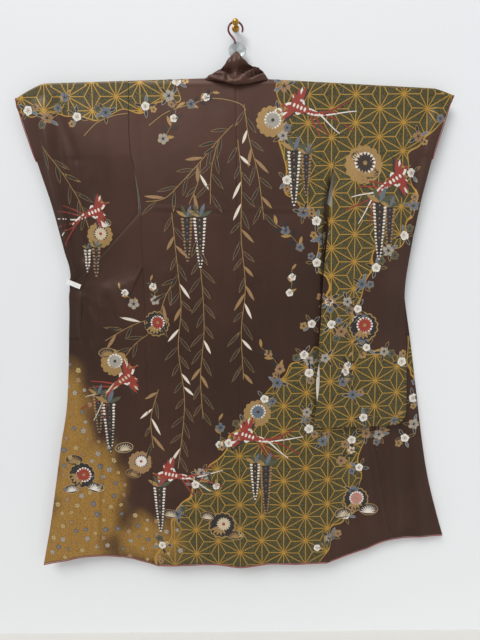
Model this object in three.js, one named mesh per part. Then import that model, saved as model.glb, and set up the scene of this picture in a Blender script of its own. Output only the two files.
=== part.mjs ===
// A furisode kimono hung on a rod hanger from a wall hook, back outwards, both fronts drawn out to the sides.
// Millimetres, +Z up, +X to the right as one faces the wall, the wall is the plane y = 0.
// The origin is the back of the wall hook's plate, behind the hook's arm.
import * as THREE from "three";

const clothThickness = 2;
const collarThickness = 3;
const collarWidth = 44;
const seamGap = 0.3;
const rodRadius = 6;
const rodInset = 30;
const rodY = -34;
const rollRadius = rodRadius + seamGap + clothThickness / 2;
const neckHalfWidth = { left: 94, right: 98 };
const sides = {
  left: { sign: -1, rodEnd: 587, rodDrop: 13, shoulder: 328, tipDrop: 38, tip: 677 },
  right: { sign: 1, rodEnd: 605, rodDrop: 37, shoulder: 328, tipDrop: 16, tip: 668 },
};
const shoulderTop = -157;
const axisTop = shoulderTop - rodRadius - seamGap - clothThickness;
const tipRollRadius = 3;
const tipTaperStart = 8;
const tipDroopPower = 1.3;
const hemRollRadius = 1.6;
const mouthRollRadius = 1.4;

const paint = {
  silk: { color: 0x4a3430, roughness: 0.72, metalness: 0 },
  red: { color: 0x8c2a20, roughness: 0.7, metalness: 0 },
  steel: { color: 0xb8b8b8, roughness: 0.35, metalness: 0.9 },
  brass: { color: 0xb08d3c, roughness: 0.3, metalness: 0.9 },
  maroon: { color: 0x6a1d33, roughness: 0.45, metalness: 0 },
  clear: { color: 0xb9bdbd, roughness: 0.2, metalness: 0 },
  white: { color: 0xeeeeea, roughness: 0.5, metalness: 0 },
};

const part = new THREE.Group();
part.name = "furisode";

function add(name, geometry, look) {
  const mesh = new THREE.Mesh(geometry, new THREE.MeshStandardMaterial(paint[look]));
  mesh.name = name;
  part.add(mesh);
  return mesh;
}

const vector = ([x, y, z]) => new THREE.Vector3(x, y, z);
const mix = (a, b, t) => a + (b - a) * t;
const steps = (from, to, count) => Array.from({ length: count + 1 }, (_, i) => mix(from, to, i / count));

// Smooth value at a fractional place in a list, with level ends.
function smooth(values, place) {
  const i = Math.min(Math.max(Math.floor(place), 0), values.length - 2);
  const t = place - i;
  const at = (k) => values[Math.min(Math.max(k, 0), values.length - 1)];
  const [a, b, c, d] = [at(i - 1), at(i), at(i + 1), at(i + 2)];
  const turn = 2 * a - 5 * b + 4 * c - d;
  const bend = 3 * b - a - 3 * c + d;
  return 0.5 * (2 * b + (c - a) * t + turn * t * t + bend * t * t * t);
}

// Smooth value of one column of a table of rows; a column may hold a list, read across by t from 0 to 1.
function column(rows, key, place, t = 0) {
  return smooth(
    rows.map((row) => (Array.isArray(row[key]) ? smooth(row[key], t * (row[key].length - 1)) : row[key])),
    place,
  );
}

// Soft ridges (out above 0) and troughs (out below 0) along straight lines in the plane of the wall.
function foldDepth(folds, x, z) {
  return folds.reduce((sum, { from, to, out, width }) => {
    const [dx, dz] = [to[0] - from[0], to[1] - from[1]];
    const along = ((x - from[0]) * dx + (z - from[1]) * dz) / (dx * dx + dz * dz);
    const near = Math.min(Math.max(along, 0), 1);
    const away = Math.hypot(x - from[0] - near * dx, z - from[1] - near * dz);
    return sum + out * Math.exp(-((away / width) ** 2));
  }, 0);
}

// A closed wall of even thickness about a grid of points, given row by row.
function wall(grid, thickness) {
  const rowCount = grid.length;
  const across = grid[0].length;
  const at = (i, j) => grid[Math.min(Math.max(i, 0), rowCount - 1)][Math.min(Math.max(j, 0), across - 1)];
  const points = [];
  for (const half of [thickness / 2, -thickness / 2])
    for (let i = 0; i < rowCount; i++)
      for (let j = 0; j < across; j++) {
        const down = at(i + 1, j).clone().sub(at(i - 1, j));
        const over = at(i, j + 1).clone().sub(at(i, j - 1));
        const normal = at(i, j).normal ?? down.cross(over).normalize();
        points.push(normal.clone().multiplyScalar(half).add(at(i, j)));
      }
  const faces = [];
  const quad = (a, b, c, d) => faces.push(a, b, c, a, c, d);
  const front = (i, j) => i * across + j;
  const back = (i, j) => rowCount * across + front(i, j);
  for (let i = 0; i + 1 < rowCount; i++)
    for (let j = 0; j + 1 < across; j++) {
      quad(front(i, j), front(i + 1, j), front(i + 1, j + 1), front(i, j + 1));
      quad(back(i, j), back(i, j + 1), back(i + 1, j + 1), back(i + 1, j));
    }
  for (let i = 0; i + 1 < rowCount; i++) {
    quad(front(i, 0), back(i, 0), back(i + 1, 0), front(i + 1, 0));
    quad(front(i, across - 1), front(i + 1, across - 1), back(i + 1, across - 1), back(i, across - 1));
  }
  for (let j = 0; j + 1 < across; j++) {
    quad(front(0, j), front(0, j + 1), back(0, j + 1), back(0, j));
    const last = rowCount - 1;
    quad(front(last, j), back(last, j), back(last, j + 1), front(last, j + 1));
  }
  return new THREE.BufferGeometry().setFromPoints(points).setIndex(faces);
}

// A round tube along a smooth curve through the points given.
function tube(points, radius, stepCount, sidesRound = 8) {
  const shape = new THREE.Shape();
  shape.absarc(0, 0, radius, 0, 2 * Math.PI);
  return new THREE.ExtrudeGeometry(shape, {
    extrudePath: new THREE.CatmullRomCurve3(points, false, "centripetal"),
    steps: stepCount,
    curveSegments: sidesRound,
    bevelEnabled: false,
  });
}

// ---- Shoulder line: the rod's axis, level at the neck and drooping past the rod's end.

function axisZ(side, x) {
  const out = Math.abs(x);
  const past = Math.max(0, (out - side.rodEnd) / (side.tip - side.rodEnd));
  const rodFall = (side.rodDrop * Math.min(out, side.rodEnd)) / side.rodEnd;
  return axisTop - rodFall - side.tipDrop * past ** tipDroopPower;
}

function rollSize(side, x) {
  const start = side.rodEnd + tipTaperStart;
  const past = Math.max(0, (Math.abs(x) - start) / (side.tip - start));
  return mix(rollRadius, tipRollRadius, Math.min(past, 1));
}

// Angle 0 faces the room and half a turn later the cloth faces the wall.
function overRod(side, x, angle) {
  const radius = rollSize(side, x);
  return new THREE.Vector3(x, rodY - radius * Math.cos(angle), axisZ(side, x) + radius * Math.sin(angle));
}
const rollAngles = steps(0, Math.PI, 6);

// ---- Sleeves. Rows from the shoulder to the foot; room and wall hold the depth of the two layers,
// from the inner edge to the outer edge.

const sleeveRows = {
  left: [
    { z: -200, inner: 330, outer: 673, room: [-41.6, -42, -42, -38], wall: [-26.5, -25, -26, -31] },
    { z: -285, inner: 333, outer: 656, room: [-43, -44, -45, -39], wall: [-26.5, -24, -24, -29] },
    { z: -374, inner: 331, outer: 632, room: [-44, -45, -46, -38], wall: [-27, -23, -22, -30] },
    { z: -402, inner: 326, outer: 624, room: [-43, -44, -45, -35.5], wall: [-26, -22, -21, -32.5] },
    { z: -450, inner: 322, outer: 610, room: [-39, -42, -44, -35.5], wall: [-24, -20, -19, -32.5] },
    { z: -545, inner: 323, outer: 581, room: [-33, -37, -40, -36], wall: [-21, -17, -17, -33] },
    { z: -660, inner: 326, outer: 554, room: [-32, -36, -38, -36.5], wall: [-19, -15, -17, -33.5] },
    { z: -745, inner: 328, outer: 537, room: [-31, -35, -37, -36.5], wall: [-18, -15, -24, -33.5] },
    { z: -800, inner: 328, outer: 541, room: [-31, -35, -36, -36.5], wall: [-18, -14, -24, -33.5] },
    { z: -965, inner: 328, outer: 550, room: [-30, -34, -35, -33.5], wall: [-17, -13, -15, -30.5] },
    { z: -1100, inner: 326, outer: 560, room: [-29, -33, -34, -31.5], wall: [-16, -12, -13, -28.5] },
    { z: -1180, inner: 325, outer: 567, room: [-27, -31, -32, -29.5], wall: [-17, -15, -16, -26.5] },
    { z: -1209, inner: 325, outer: 568, room: [-24, -25, -26, -27], wall: [-21, -22, -23, -24] },
  ],
  right: [
    { z: -205, inner: 328, outer: 660, room: [-41.6, -42, -42, -38], wall: [-26.5, -25, -26, -31] },
    { z: -290, inner: 322, outer: 640, room: [-43, -44, -46, -41], wall: [-26.5, -25, -25, -29] },
    { z: -376, inner: 309, outer: 616, room: [-45, -46, -47, -40], wall: [-27, -26, -26, -30] },
    { z: -405, inner: 306, outer: 609, room: [-46, -47, -47, -38], wall: [-28, -28, -28, -35] },
    { z: -450, inner: 302, outer: 598, room: [-50, -50, -48, -38], wall: [-38, -34, -31, -35] },
    { z: -545, inner: 293, outer: 576, room: [-60, -56, -50, -38], wall: [-50, -43, -36, -35] },
    { z: -660, inner: 280, outer: 556, room: [-64, -60, -52, -39], wall: [-54, -47, -39, -36] },
    { z: -800, inner: 268, outer: 537, room: [-67, -62, -54, -40], wall: [-56, -49, -41, -37] },
    { z: -908, inner: 263, outer: 540, room: [-69, -64, -55, -41], wall: [-57, -50, -42, -38] },
    { z: -1010, inner: 256, outer: 546, room: [-70, -65, -57, -43], wall: [-58, -51, -43, -40] },
    { z: -1165, inner: 249, outer: 551, room: [-71, -66, -58, -44], wall: [-59, -52, -45, -41] },
    { z: -1232, inner: 245, outer: 551, room: [-69, -64, -56, -45], wall: [-61, -55, -48, -42] },
    {
      z: -1260, inner: 244, outer: 551,
      room: [-66.5, -61.5, -53.5, -46.5], wall: [-63.5, -58.5, -50.5, -43.5],
    },
  ],
};
const sleeveFolds = {
  left: [
    { from: [-606, -230], to: [-548, -690], out: 8, width: 24 },
    { from: [-562, -225], to: [-500, -400], out: -6, width: 15 },
    { from: [-500, -400], to: [-492, -700], out: -6, width: 13 },
    { from: [-430, -300], to: [-420, -640], out: 3, width: 40 },
  ],
  right: [
    { from: [622, -260], to: [560, -620], out: 5, width: 16 },
    { from: [592, -250], to: [532, -640], out: -5, width: 14 },
    { from: [420, -420], to: [350, -1180], out: -4, width: 30 },
    { from: [490, -700], to: [470, -1200], out: 5, width: 34 },
  ],
};
const cornerRadius = 44;
const droopEase = 1.1;

// Height at which a column starts is the rod's axis, and it evens out to the row's own height lower down.
function sleevePoint(name, layer, place, t) {
  const side = sides[name];
  const rows = sleeveRows[name];
  const inner = mix(side.shoulder + 1, side.tip, t);
  const top = overRod(side, side.sign * inner, layer === "room" ? 0 : Math.PI);
  const row = Math.max(place - 1, 0);
  let out = mix(column(rows, "inner", row), column(rows, "outer", row), t);
  let y = column(rows, layer, row, t);
  let z = column(rows, "z", row);
  const last = rows[rows.length - 1];
  const rounding = Math.max(0, (last.z + cornerRadius - z) / cornerRadius);
  out -= cornerRadius * (1 - Math.sqrt(Math.max(0, 1 - rounding * rounding))) * t ** 4;
  const ease = Math.exp(-row * droopEase);
  z += (top.z - axisZ(side, side.shoulder)) * ease;
  if (layer === "room") y -= foldDepth(sleeveFolds[name], side.sign * out, z) * Math.min(1, 2 * row);
  if (place < 1) {
    out = mix(inner, out, place);
    y = mix(top.y, y, place);
    z = mix(top.z, z, place);
  }
  return new THREE.Vector3(side.sign * out, y, z);
}

const sleeveColumns = steps(0, 1, 10);
const sleevePlaces = [0.5, 1, ...steps(1.8, 13, 14)];

function sleeveGrid(name) {
  const side = sides[name];
  const layer = (which, places) =>
    places.map((place) => sleeveColumns.map((t) => sleevePoint(name, which, place, t)));
  const roll = rollAngles.map((angle) =>
    sleeveColumns.map((t) => overRod(side, side.sign * mix(side.shoulder + 1, side.tip, t), angle)),
  );
  return [...layer("room", sleevePlaces).reverse(), ...roll, ...layer("wall", sleevePlaces)];
}

// ---- Body. Back rows from the rod to the hem, from the centre seam (or the neck's rim) to the side.

const backRows = {
  left: [
    { z: -180, outer: 328.4, y: [-45, -43, -42.5, -41.8] },
    { z: -230, outer: 330, y: [-46, -44, -43, -42.4] },
    { z: -285, outer: 332, y: [-47, -46, -44, -43] },
    { z: -374, outer: 330, y: [-47, -48, -46, -44] },
    { z: -440, outer: 317, y: [-48, -49, -48, -46] },
    { z: -545, outer: 302, y: [-49, -50, -50, -47.8] },
    { z: -700, outer: 302, y: [-49, -50, -51, -48.2] },
    { z: -870, outer: 299, y: [-49, -51, -51, -47.8] },
    { z: -1166, outer: 300, y: [-50, -52, -53, -48] },
    { z: -1441, outer: 293, y: [-51, -54, -54, -49] },
    { z: -1742, outer: 291, y: [-53, -52, -56, -50], drop: [-10, 3, 0, -2] },
  ],
  right: [
    { z: -180, outer: 328.4, y: [-45, -43, -42.5, -41.8] },
    { z: -230, outer: 326, y: [-46, -44, -43, -42.4] },
    { z: -290, outer: 321, y: [-47, -46, -44, -43] },
    { z: -376, outer: 308, y: [-47, -48, -47, -45] },
    { z: -450, outer: 299, y: [-48, -49, -48, -46] },
    { z: -545, outer: 289, y: [-49, -50, -49, -47] },
    { z: -700, outer: 286, y: [-49, -50, -50, -47] },
    { z: -870, outer: 288, y: [-49, -50, -50, -47] },
    { z: -1166, outer: 298, y: [-50, -51, -51, -48] },
    { z: -1441, outer: 303, y: [-51, -52, -55, -49] },
    { z: -1740, outer: 306, y: [-53, -56, -53, -50], drop: [-12, 1, 0, 1] },
  ],
};
const backFolds = [
  { from: [-70, -900], to: [-105, -1720], out: 4, width: 26 },
  { from: [-155, -1000], to: [-190, -1740], out: -3, width: 24 },
  { from: [-240, -760], to: [-235, -1700], out: 3, width: 24 },
  { from: [60, -800], to: [95, -1740], out: -3, width: 30 },
  { from: [150, -620], to: [190, -1720], out: 4, width: 30 },
  { from: [-190, -260], to: [-110, -500], out: 2, width: 30 },
];
const neckRim = { count: 6, depth: 13, power: 1.6, centreY: -45 };

function rimPoint(name, t) {
  const side = sides[name];
  const half = neckHalfWidth[name];
  const out = mix(half, seamGap / 2, t);
  const z = mix(axisZ(side, half), axisTop - neckRim.depth, t ** neckRim.power);
  return new THREE.Vector3(side.sign * out, mix(rodY - rollRadius, neckRim.centreY, t), z);
}

function backPoint(name, place, t) {
  const side = sides[name];
  const rows = backRows[name];
  const out = mix(seamGap / 2, column(rows, "outer", place), t);
  const nearHem = Math.max(0, place - rows.length + 2);
  const z = column(rows, "z", place) + nearHem * smooth(rows[rows.length - 1].drop, 3 * t);
  const x = side.sign * out;
  const middle = 4 * t * (1 - t);
  const y = column(rows, "y", place, t) - foldDepth(backFolds, x, z) * Math.min(1, 1.5 * middle);
  return new THREE.Vector3(x, y, z);
}

// From the rod down to the first full row, the inner edge follows the neck's rim to the centre.
function yokePoint(name, drop, t) {
  const side = sides[name];
  const edge = rimPoint(name, drop);
  const outerTop = overRod(side, side.sign * side.shoulder, 0);
  const full = backPoint(name, 0, 1);
  const outer = outerTop.lerp(full, drop);
  const point = edge.clone().lerp(outer, t);
  point.z = mix(edge.z, outer.z, t);
  return point;
}

// ---- Fronts. Rows from the hem up over the drawn-out flap, round its upper fold and
// behind the back to the rod.
// edge is the front's free edge, okumi the seam of the overlap panel, mid a line on the
// front, side its side edge.

const frontRows = {
  left: [
    {
      edge: [-673, -44, -1741], okumi: [-522, -50, -1709],
      mid: [-390, -46, -1714], side: [-287, -47, -1743],
    },
    {
      edge: [-642, -45, -1600], okumi: [-500, -52, -1612],
      mid: [-385, -47, -1610], side: [-288, -46.5, -1610],
    },
    {
      edge: [-616, -46, -1460], okumi: [-475, -53, -1475],
      mid: [-375, -48, -1470], side: [-289, -46, -1460],
    },
    {
      edge: [-591, -47, -1320], okumi: [-453, -54, -1340],
      mid: [-370, -50, -1330], side: [-293, -45.5, -1310],
    },
    {
      edge: [-566, -48, -1190], okumi: [-437, -55, -1180],
      mid: [-365, -51, -1170], side: [-296, -45, -1160],
    },
    {
      edge: [-553, -48, -1060], okumi: [-424, -56, -1060],
      mid: [-360, -51, -1040], side: [-296, -44.6, -1020],
    },
    { edge: [-547, -48, -966], okumi: [-413, -57, -950], mid: [-352, -51, -930], side: [-295, -44.4, -910] },
    { edge: [-542, -47, -880], okumi: [-388, -56, -875], mid: [-338, -50, -850], side: [-294, -44, -830] },
    { edge: [-539, -46, -812], okumi: [-360, -54, -806], mid: [-322, -47, -780], side: [-290, -43, -765] },
    { edge: [-530, -46, -789], okumi: [-318, -46.6, -730], mid: [-297, -44, -710], side: [-278, -42, -695] },
    {
      edge: [-513, -46.5, -775], okumi: [-292, -44, -640],
      mid: [-280, -42.6, -620], side: [-268, -41.6, -605],
    },
    {
      edge: [-497, -46.5, -768], okumi: [-285, -43.6, -545],
      mid: [-273, -42.4, -532], side: [-261, -41.5, -520],
    },
    {
      edge: [-494, -44, -762], okumi: [-283, -41.3, -536],
      mid: [-271, -40, -523], side: [-259, -39.2, -512],
    },
    {
      edge: [-497, -41.5, -768], okumi: [-285, -39, -545],
      mid: [-273, -37.8, -532], side: [-259, -37, -517],
    },
    {
      edge: [-415, -41.5, -790], okumi: [-292, -38.6, -620],
      mid: [-275, -37.5, -585], side: [-255, -36.5, -514],
    },
    { edge: [-320, -40, -745], okumi: [-280, -38, -640], mid: [-268, -36.8, -572], side: [-251, -36, -506] },
    { edge: [-230, -37, -660], okumi: [-222, -36, -610], mid: [-238, -35, -540], side: [-258, -34.6, -484] },
    { edge: [-150, -33, -520], okumi: [-178, -32, -486], mid: [-225, -32, -465], side: [-284, -31, -446] },
    { edge: [-100, -29, -380], okumi: [-143, -29, -374], mid: [-225, -28.5, -380], side: [-322, -27, -402] },
    {
      edge: [-68, -26, -270], okumi: [-112, -26, -270],
      mid: [-220, -26.6, -280], side: [-330.5, -26.5, -285],
    },
    {
      edge: [-50, -25.2, -195], okumi: [-96, -25.4, -195],
      mid: [-210, -26.7, -198], side: [-329, -26.7, -200],
    },
  ],
  right: [
    { edge: [695, -26, -1656], okumi: [522, -34, -1665], mid: [414, -36, -1702], side: [302, -47, -1738] },
    { edge: [672, -26, -1580], okumi: [503, -33, -1570], mid: [405, -36, -1590], side: [300, -46.5, -1610] },
    { edge: [636, -25, -1442], okumi: [483, -32, -1448], mid: [396, -36, -1455], side: [299, -46, -1460] },
    { edge: [612, -24, -1310], okumi: [458, -30, -1330], mid: [380, -35, -1330], side: [298, -45.5, -1320] },
    { edge: [590, -23, -1160], okumi: [436, -28, -1180], mid: [370, -33, -1180], side: [294, -45, -1170] },
    { edge: [577, -22, -1060], okumi: [420, -26, -1060], mid: [358, -31, -1050], side: [289, -44.5, -1040] },
    { edge: [563, -21, -966], okumi: [405, -25, -950], mid: [345, -30, -930], side: [285, -44, -910] },
    { edge: [549, -20, -880], okumi: [385, -24, -875], mid: [335, -29, -850], side: [283, -43.5, -830] },
    { edge: [538, -19, -812], okumi: [358, -24, -806], mid: [318, -30, -780], side: [278, -42, -765] },
    { edge: [529, -19, -789], okumi: [316, -28, -730], mid: [295, -33, -710], side: [273, -40, -695] },
    { edge: [513, -19, -775], okumi: [292, -32, -640], mid: [280, -35, -620], side: [266, -39, -605] },
    { edge: [497, -20.5, -768], okumi: [285, -33, -545], mid: [273, -35.5, -532], side: [261, -38, -520] },
    { edge: [494, -17, -762], okumi: [283, -30.5, -536], mid: [271, -33, -523], side: [259, -35.5, -512] },
    { edge: [497, -13.5, -768], okumi: [285, -28, -545], mid: [273, -30.5, -532], side: [259, -33, -517] },
    { edge: [415, -14, -790], okumi: [292, -26, -620], mid: [275, -28, -585], side: [255, -32.5, -514] },
    { edge: [320, -15, -745], okumi: [280, -24, -640], mid: [268, -27, -572], side: [251, -31.5, -506] },
    { edge: [230, -18, -660], okumi: [222, -22, -610], mid: [238, -26, -540], side: [256, -30.5, -484] },
    { edge: [150, -22, -520], okumi: [178, -24, -486], mid: [222, -26, -465], side: [274, -29, -446] },
    { edge: [100, -25, -380], okumi: [143, -26, -374], mid: [216, -27, -380], side: [302, -28, -405] },
    { edge: [68, -26, -270], okumi: [112, -26, -270], mid: [210, -26.6, -280], side: [318.5, -26.6, -290] },
    {
      edge: [52, -25.2, -195], okumi: [100, -25.4, -195],
      mid: [212, -26.7, -200], side: [325.5, -26.7, -205],
    },
  ],
};
const frontFolds = {
  left: [
    { from: [-500, -830], to: [-455, -1330], out: 5, width: 22 },
    { from: [-470, -815], to: [-395, -1010], out: -5, width: 17 },
    { from: [-415, -800], to: [-345, -930], out: 3, width: 16 },
    { from: [-430, -1180], to: [-380, -1620], out: -5, width: 16 },
    { from: [-560, -1300], to: [-590, -1730], out: 4, width: 26 },
    { from: [-340, -1330], to: [-335, -1720], out: 4, width: 20 },
  ],
  right: [
    { from: [560, -1150], to: [615, -1640], out: 6, width: 24 },
    { from: [520, -1120], to: [560, -1640], out: -5, width: 20 },
    { from: [400, -1280], to: [430, -1680], out: 4, width: 26 },
    { from: [345, -1260], to: [355, -1700], out: -4, width: 20 },
  ],
};
const foldRow = 9;
const crestRow = 11.5;
const foldEase = { size: 0.6, rows: 1.6 };
const tipRow = 6;
const okumiTopRow = 15.5;

function columnCurves(name) {
  const curve = (key) =>
    new THREE.CatmullRomCurve3(frontRows[name].map((row) => vector(row[key])), false, "centripetal");
  return ["edge", "okumi", "mid", "side"].map(curve);
}
const frontCurves = { left: columnCurves("left"), right: columnCurves("right") };

// c runs from 0 at the free edge through 1 at the overlap seam to 3 at the side.
function frontPoint(name, row, c) {
  const last = frontRows[name].length - 1;
  const place = Math.min(Math.max(row / last, 0), 1);
  const across = frontCurves[name].map((curve) => curve.getPoint(place));
  const point = vector(["x", "y", "z"].map((axis) => smooth(across.map((p) => p[axis]), c)));
  const near = Math.min(1, Math.max(0, foldRow - row) / 2) * Math.min(1, Math.max(0, 3 - c));
  point.y -= foldDepth(frontFolds[name], point.x, point.z) * near;
  return point;
}

// The same point with the surface's own normal, so that pieces meeting at a seam have parallel edges.
function frontSurface(name, row, c) {
  const step = 0.02;
  const point = frontPoint(name, row, c);
  const down = frontPoint(name, row + step, c).sub(frontPoint(name, row - step, c));
  const over = frontPoint(name, row, c + step).sub(frontPoint(name, row, c - step));
  point.normal = down.cross(over).normalize();
  return point;
}

// The share of the row that the collar's width takes up: all of it above the overlap panel.
function collarShare(name, row) {
  if (row > okumiTopRow) return 1;
  const edge = frontPoint(name, row, 0);
  let share = 0.2;
  for (let i = 0; i < 4; i++) share *= collarWidth / edge.distanceTo(frontPoint(name, row, share));
  return Math.min(share, 1);
}

// How much of c a gap of this size, square to the seam at shareAt(row), takes up along the row.
function gapShare(name, row, shareAt, size) {
  const step = 0.05;
  const here = frontPoint(name, row, shareAt(row));
  const across = frontPoint(name, row, shareAt(row) + step).sub(here);
  const [before, after] = [row - step, row + step].map((r) => frontPoint(name, r, shareAt(r)));
  const slant = Math.sin(across.angleTo(after.sub(before)));
  return (size * step) / (across.length() * Math.max(slant, 0.1));
}

const hemToTip = steps(0, tipRow, 8);
const tipToOkumiTop = [tipRow + 0.02, 6.7, 7.4, ...steps(8, 14, 12), 14.7, okumiTopRow];
const okumiTopToShoulder = [16.2, 17, 17.7, 18.5, 19.2, 20];
const frontPlaces = [...hemToTip, ...tipToOkumiTop, ...okumiTopToShoulder];

// Half the gap beside the collar's seam, a little wider where both go round the flap's upper fold.
function besideCollar(row) {
  const fromCrest = (row - crestRow) / foldEase.rows;
  return seamGap / 2 + foldEase.size * Math.exp(-(fromCrest ** 2));
}

function okumiGrid(name) {
  return [...hemToTip, ...tipToOkumiTop].map((row) => {
    const besideIt = gapShare(name, row, (r) => collarShare(name, r), besideCollar(row));
    const start = row > tipRow ? Math.min(collarShare(name, row) + besideIt, 0.9) : 0;
    const end = 1 - gapShare(name, row, () => 1, seamGap / 2);
    return steps(start, end, 4).map((c) => frontSurface(name, row, c));
  });
}

function bodyGrid(name) {
  const side = sides[name];
  const across = steps(0, 1, 8);
  const half = neckHalfWidth[name];
  const front = frontPlaces.map((row) => {
    const start = 1 + gapShare(name, row, () => 1, seamGap / 2);
    return across.map((t) => frontSurface(name, row, mix(start, 3, t)));
  });
  const roll = rollAngles
    .map((angle) => across.map((t) => overRod(side, side.sign * mix(half, side.shoulder, t), angle)))
    .reverse();
  const yoke = steps(1 / neckRim.count, 1, neckRim.count - 1).map((drop) =>
    across.map((t) => yokePoint(name, drop, t)),
  );
  const back = steps(0.6, backRows[name].length - 1, 15).map((place) =>
    across.map((t) => backPoint(name, place, t)),
  );
  return [...front, ...roll, ...yoke, ...back];
}

// ---- Collar. Across the neck it rolls over the rim and is held up in a peak by the hanger.

const neckRows = [
  { seam: [-93.4, -26, -162.5], low: [-79, -25.8, -161], high: [-64, -25.8, -159], edge: [-50, -25.8, -157] },
  { seam: [-93.4, -34, -159.2], low: [-80, -34, -156], high: [-68, -33, -152], edge: [-56, -32, -148] },
  { seam: [-92.6, -40.6, -161], low: [-84, -43, -156], high: [-77, -41, -151], edge: [-70, -37, -148] },
  { seam: [-68, -42.6, -164], low: [-66, -50, -168], high: [-60, -47, -152], edge: [-54, -40, -138] },
  { seam: [-42, -43.6, -167], low: [-41, -52, -175], high: [-37, -48, -148], edge: [-33, -42, -122] },
  { seam: [-20, -44.4, -170.3], low: [-20, -53, -180], high: [-17, -46, -142], edge: [-18, -43, -103] },
  { seam: [0, -45, -173.2], low: [1, -54, -184], high: [3, -46, -140], edge: [4, -44, -86] },
  { seam: [28, -44.7, -171.2], low: [28, -54, -182], high: [25, -50, -142], edge: [15, -44, -101] },
  { seam: [56, -43.8, -168], low: [55, -53, -177], high: [50, -52, -147], edge: [36, -42, -119] },
  { seam: [78, -42.6, -166], low: [77, -50, -169], high: [74, -48, -150], edge: [64, -39, -131] },
  { seam: [96.4, -40.6, -163.5], low: [92, -43, -158], high: [88, -41, -152], edge: [84, -37, -145] },
  { seam: [97.4, -34, -161.6], low: [88, -34, -157], high: [76, -33, -152], edge: [62, -32, -148] },
  { seam: [97.4, -26, -166], low: [82, -25.8, -163], high: [68, -25.8, -160], edge: [54, -25.8, -158] },
];
const neckCreases = [
  { from: [0, -176], to: [70, -136], out: 6, width: 7 },
  { from: [-62, -150], to: [-18, -158], out: 5, width: 6 },
  { from: [-18, -158], to: [-8, -176], out: 4, width: 5 },
  { from: [-25, -112], to: [12, -104], out: 5, width: 7 },
  { from: [-20, -138], to: [30, -132], out: -4, width: 10 },
];

function neckPoint(place, t) {
  const curve = (key) =>
    new THREE.CatmullRomCurve3(neckRows.map((row) => vector(row[key])), false, "centripetal");
  neckPoint.curves ??= ["seam", "low", "high", "edge"].map(curve);
  const across = neckPoint.curves.map((c) => c.getPoint(place / (neckRows.length - 1)));
  const point = vector(["x", "y", "z"].map((axis) => smooth(across.map((p) => p[axis]), 3 * t)));
  const free = Math.min(1, 4 * t) * (point.y < -41 ? 1 : 0);
  point.y -= foldDepth(neckCreases, point.x, point.z) * free;
  return point;
}

function collarGrid() {
  const across = steps(0, 1, 6);
  const run = (name, facing) =>
    [...tipToOkumiTop, ...okumiTopToShoulder].map((row) => {
      const besideIt = gapShare(name, row, (r) => collarShare(name, r), besideCollar(row));
      const share = collarShare(name, row) - besideIt;
      return across.map((t) => {
        const point = frontSurface(name, row, share * (1 - t));
        point.normal.multiplyScalar(facing);
        return point;
      });
    });
  const neck = steps(0, neckRows.length - 1, 30).map((place) => across.map((t) => neckPoint(place, t)));
  return [...run("left", -1), ...neck, ...run("right", 1).reverse()];
}

// ---- Rolled red edges.

function hemPath() {
  const under = hemRollRadius + 4 * seamGap;
  const shares = steps(0, 3, 12);
  const front = (name) => shares.map((c) => frontPoint(name, 0, c));
  const back = (name) =>
    steps(0.92, 0.04, 8).map((t) => backPoint(name, backRows[name].length - 1, t));
  const points = [...front("left"), ...back("left"), ...back("right").reverse(), ...front("right").reverse()];
  return points.map((p) => p.clone().setZ(p.z - under));
}

function mouthPath(name) {
  const side = sides[name];
  const beyond = side.sign * (mouthRollRadius + 5 * seamGap);
  const mouthPlaces = steps(0.5, 4, 7);
  const layer = (which) => mouthPlaces.map((place) => sleevePoint(name, which, place, 1));
  const roll = [0, Math.PI / 2, Math.PI].map((angle) => overRod(side, side.sign * side.tip, angle));
  return [...layer("room").reverse(), ...roll, ...layer("wall")].map((p) => p.clone().setX(p.x + beyond));
}

// ---- Hanger, hook and clip.

const wire = {
  radius: 3,
  hookRadius: 22,
  seatZ: 7.3,
  seatY: -27.2,
  arc: [-0.12 * Math.PI, 1.2 * Math.PI],
  stem: [[-4, -29.6, -46], [0, -32, -60], [0, rodY, -90]],
};
const hub = { radius: 8, height: 26 };
const disc = { radius: 27, thickness: 3, centre: [5, -75], depth: -24.8 };
const plate = { width: 22, height: 46, thickness: 3 };
const arm = { radius: 4, reach: 31, ball: 10 };
const clip = {
  length: 46,
  back: 14,
  height: 15,
  jaw: 2.4,
  mouth: 20.4,
  centre: [-522, -41, -786],
  tilt: 0.4,
};

function rodArm(name) {
  const side = sides[name];
  const startX = side.sign * (hub.radius + 2 * seamGap);
  const start = new THREE.Vector3(startX, rodY, axisZ(side, side.sign * hub.radius));
  const reach = side.rodEnd - rodInset;
  const end = new THREE.Vector3(side.sign * reach, rodY, axisZ(side, side.sign * reach));
  const geometry = new THREE.CylinderGeometry(rodRadius, rodRadius, start.distanceTo(end), 16);
  const mesh = add("rod_" + name, geometry, "steel");
  mesh.position.copy(start).lerp(end, 0.5);
  mesh.quaternion.setFromUnitVectors(new THREE.Vector3(0, 1, 0), end.sub(start).normalize());
}

function hangerHook() {
  const centreZ = wire.seatZ - wire.hookRadius;
  const arc = steps(...wire.arc, 12).map((angle) => {
    const z = centreZ + wire.hookRadius * Math.sin(angle);
    return new THREE.Vector3(wire.hookRadius * Math.cos(angle), wire.seatY, z);
  });
  const bottom = axisTop + hub.height / 2 + seamGap;
  const stem = [...wire.stem.map(vector), new THREE.Vector3(0, rodY, bottom)];
  add("hanger_hook", tube([...arc, ...stem], wire.radius, 32, 4), "maroon");
}

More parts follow.
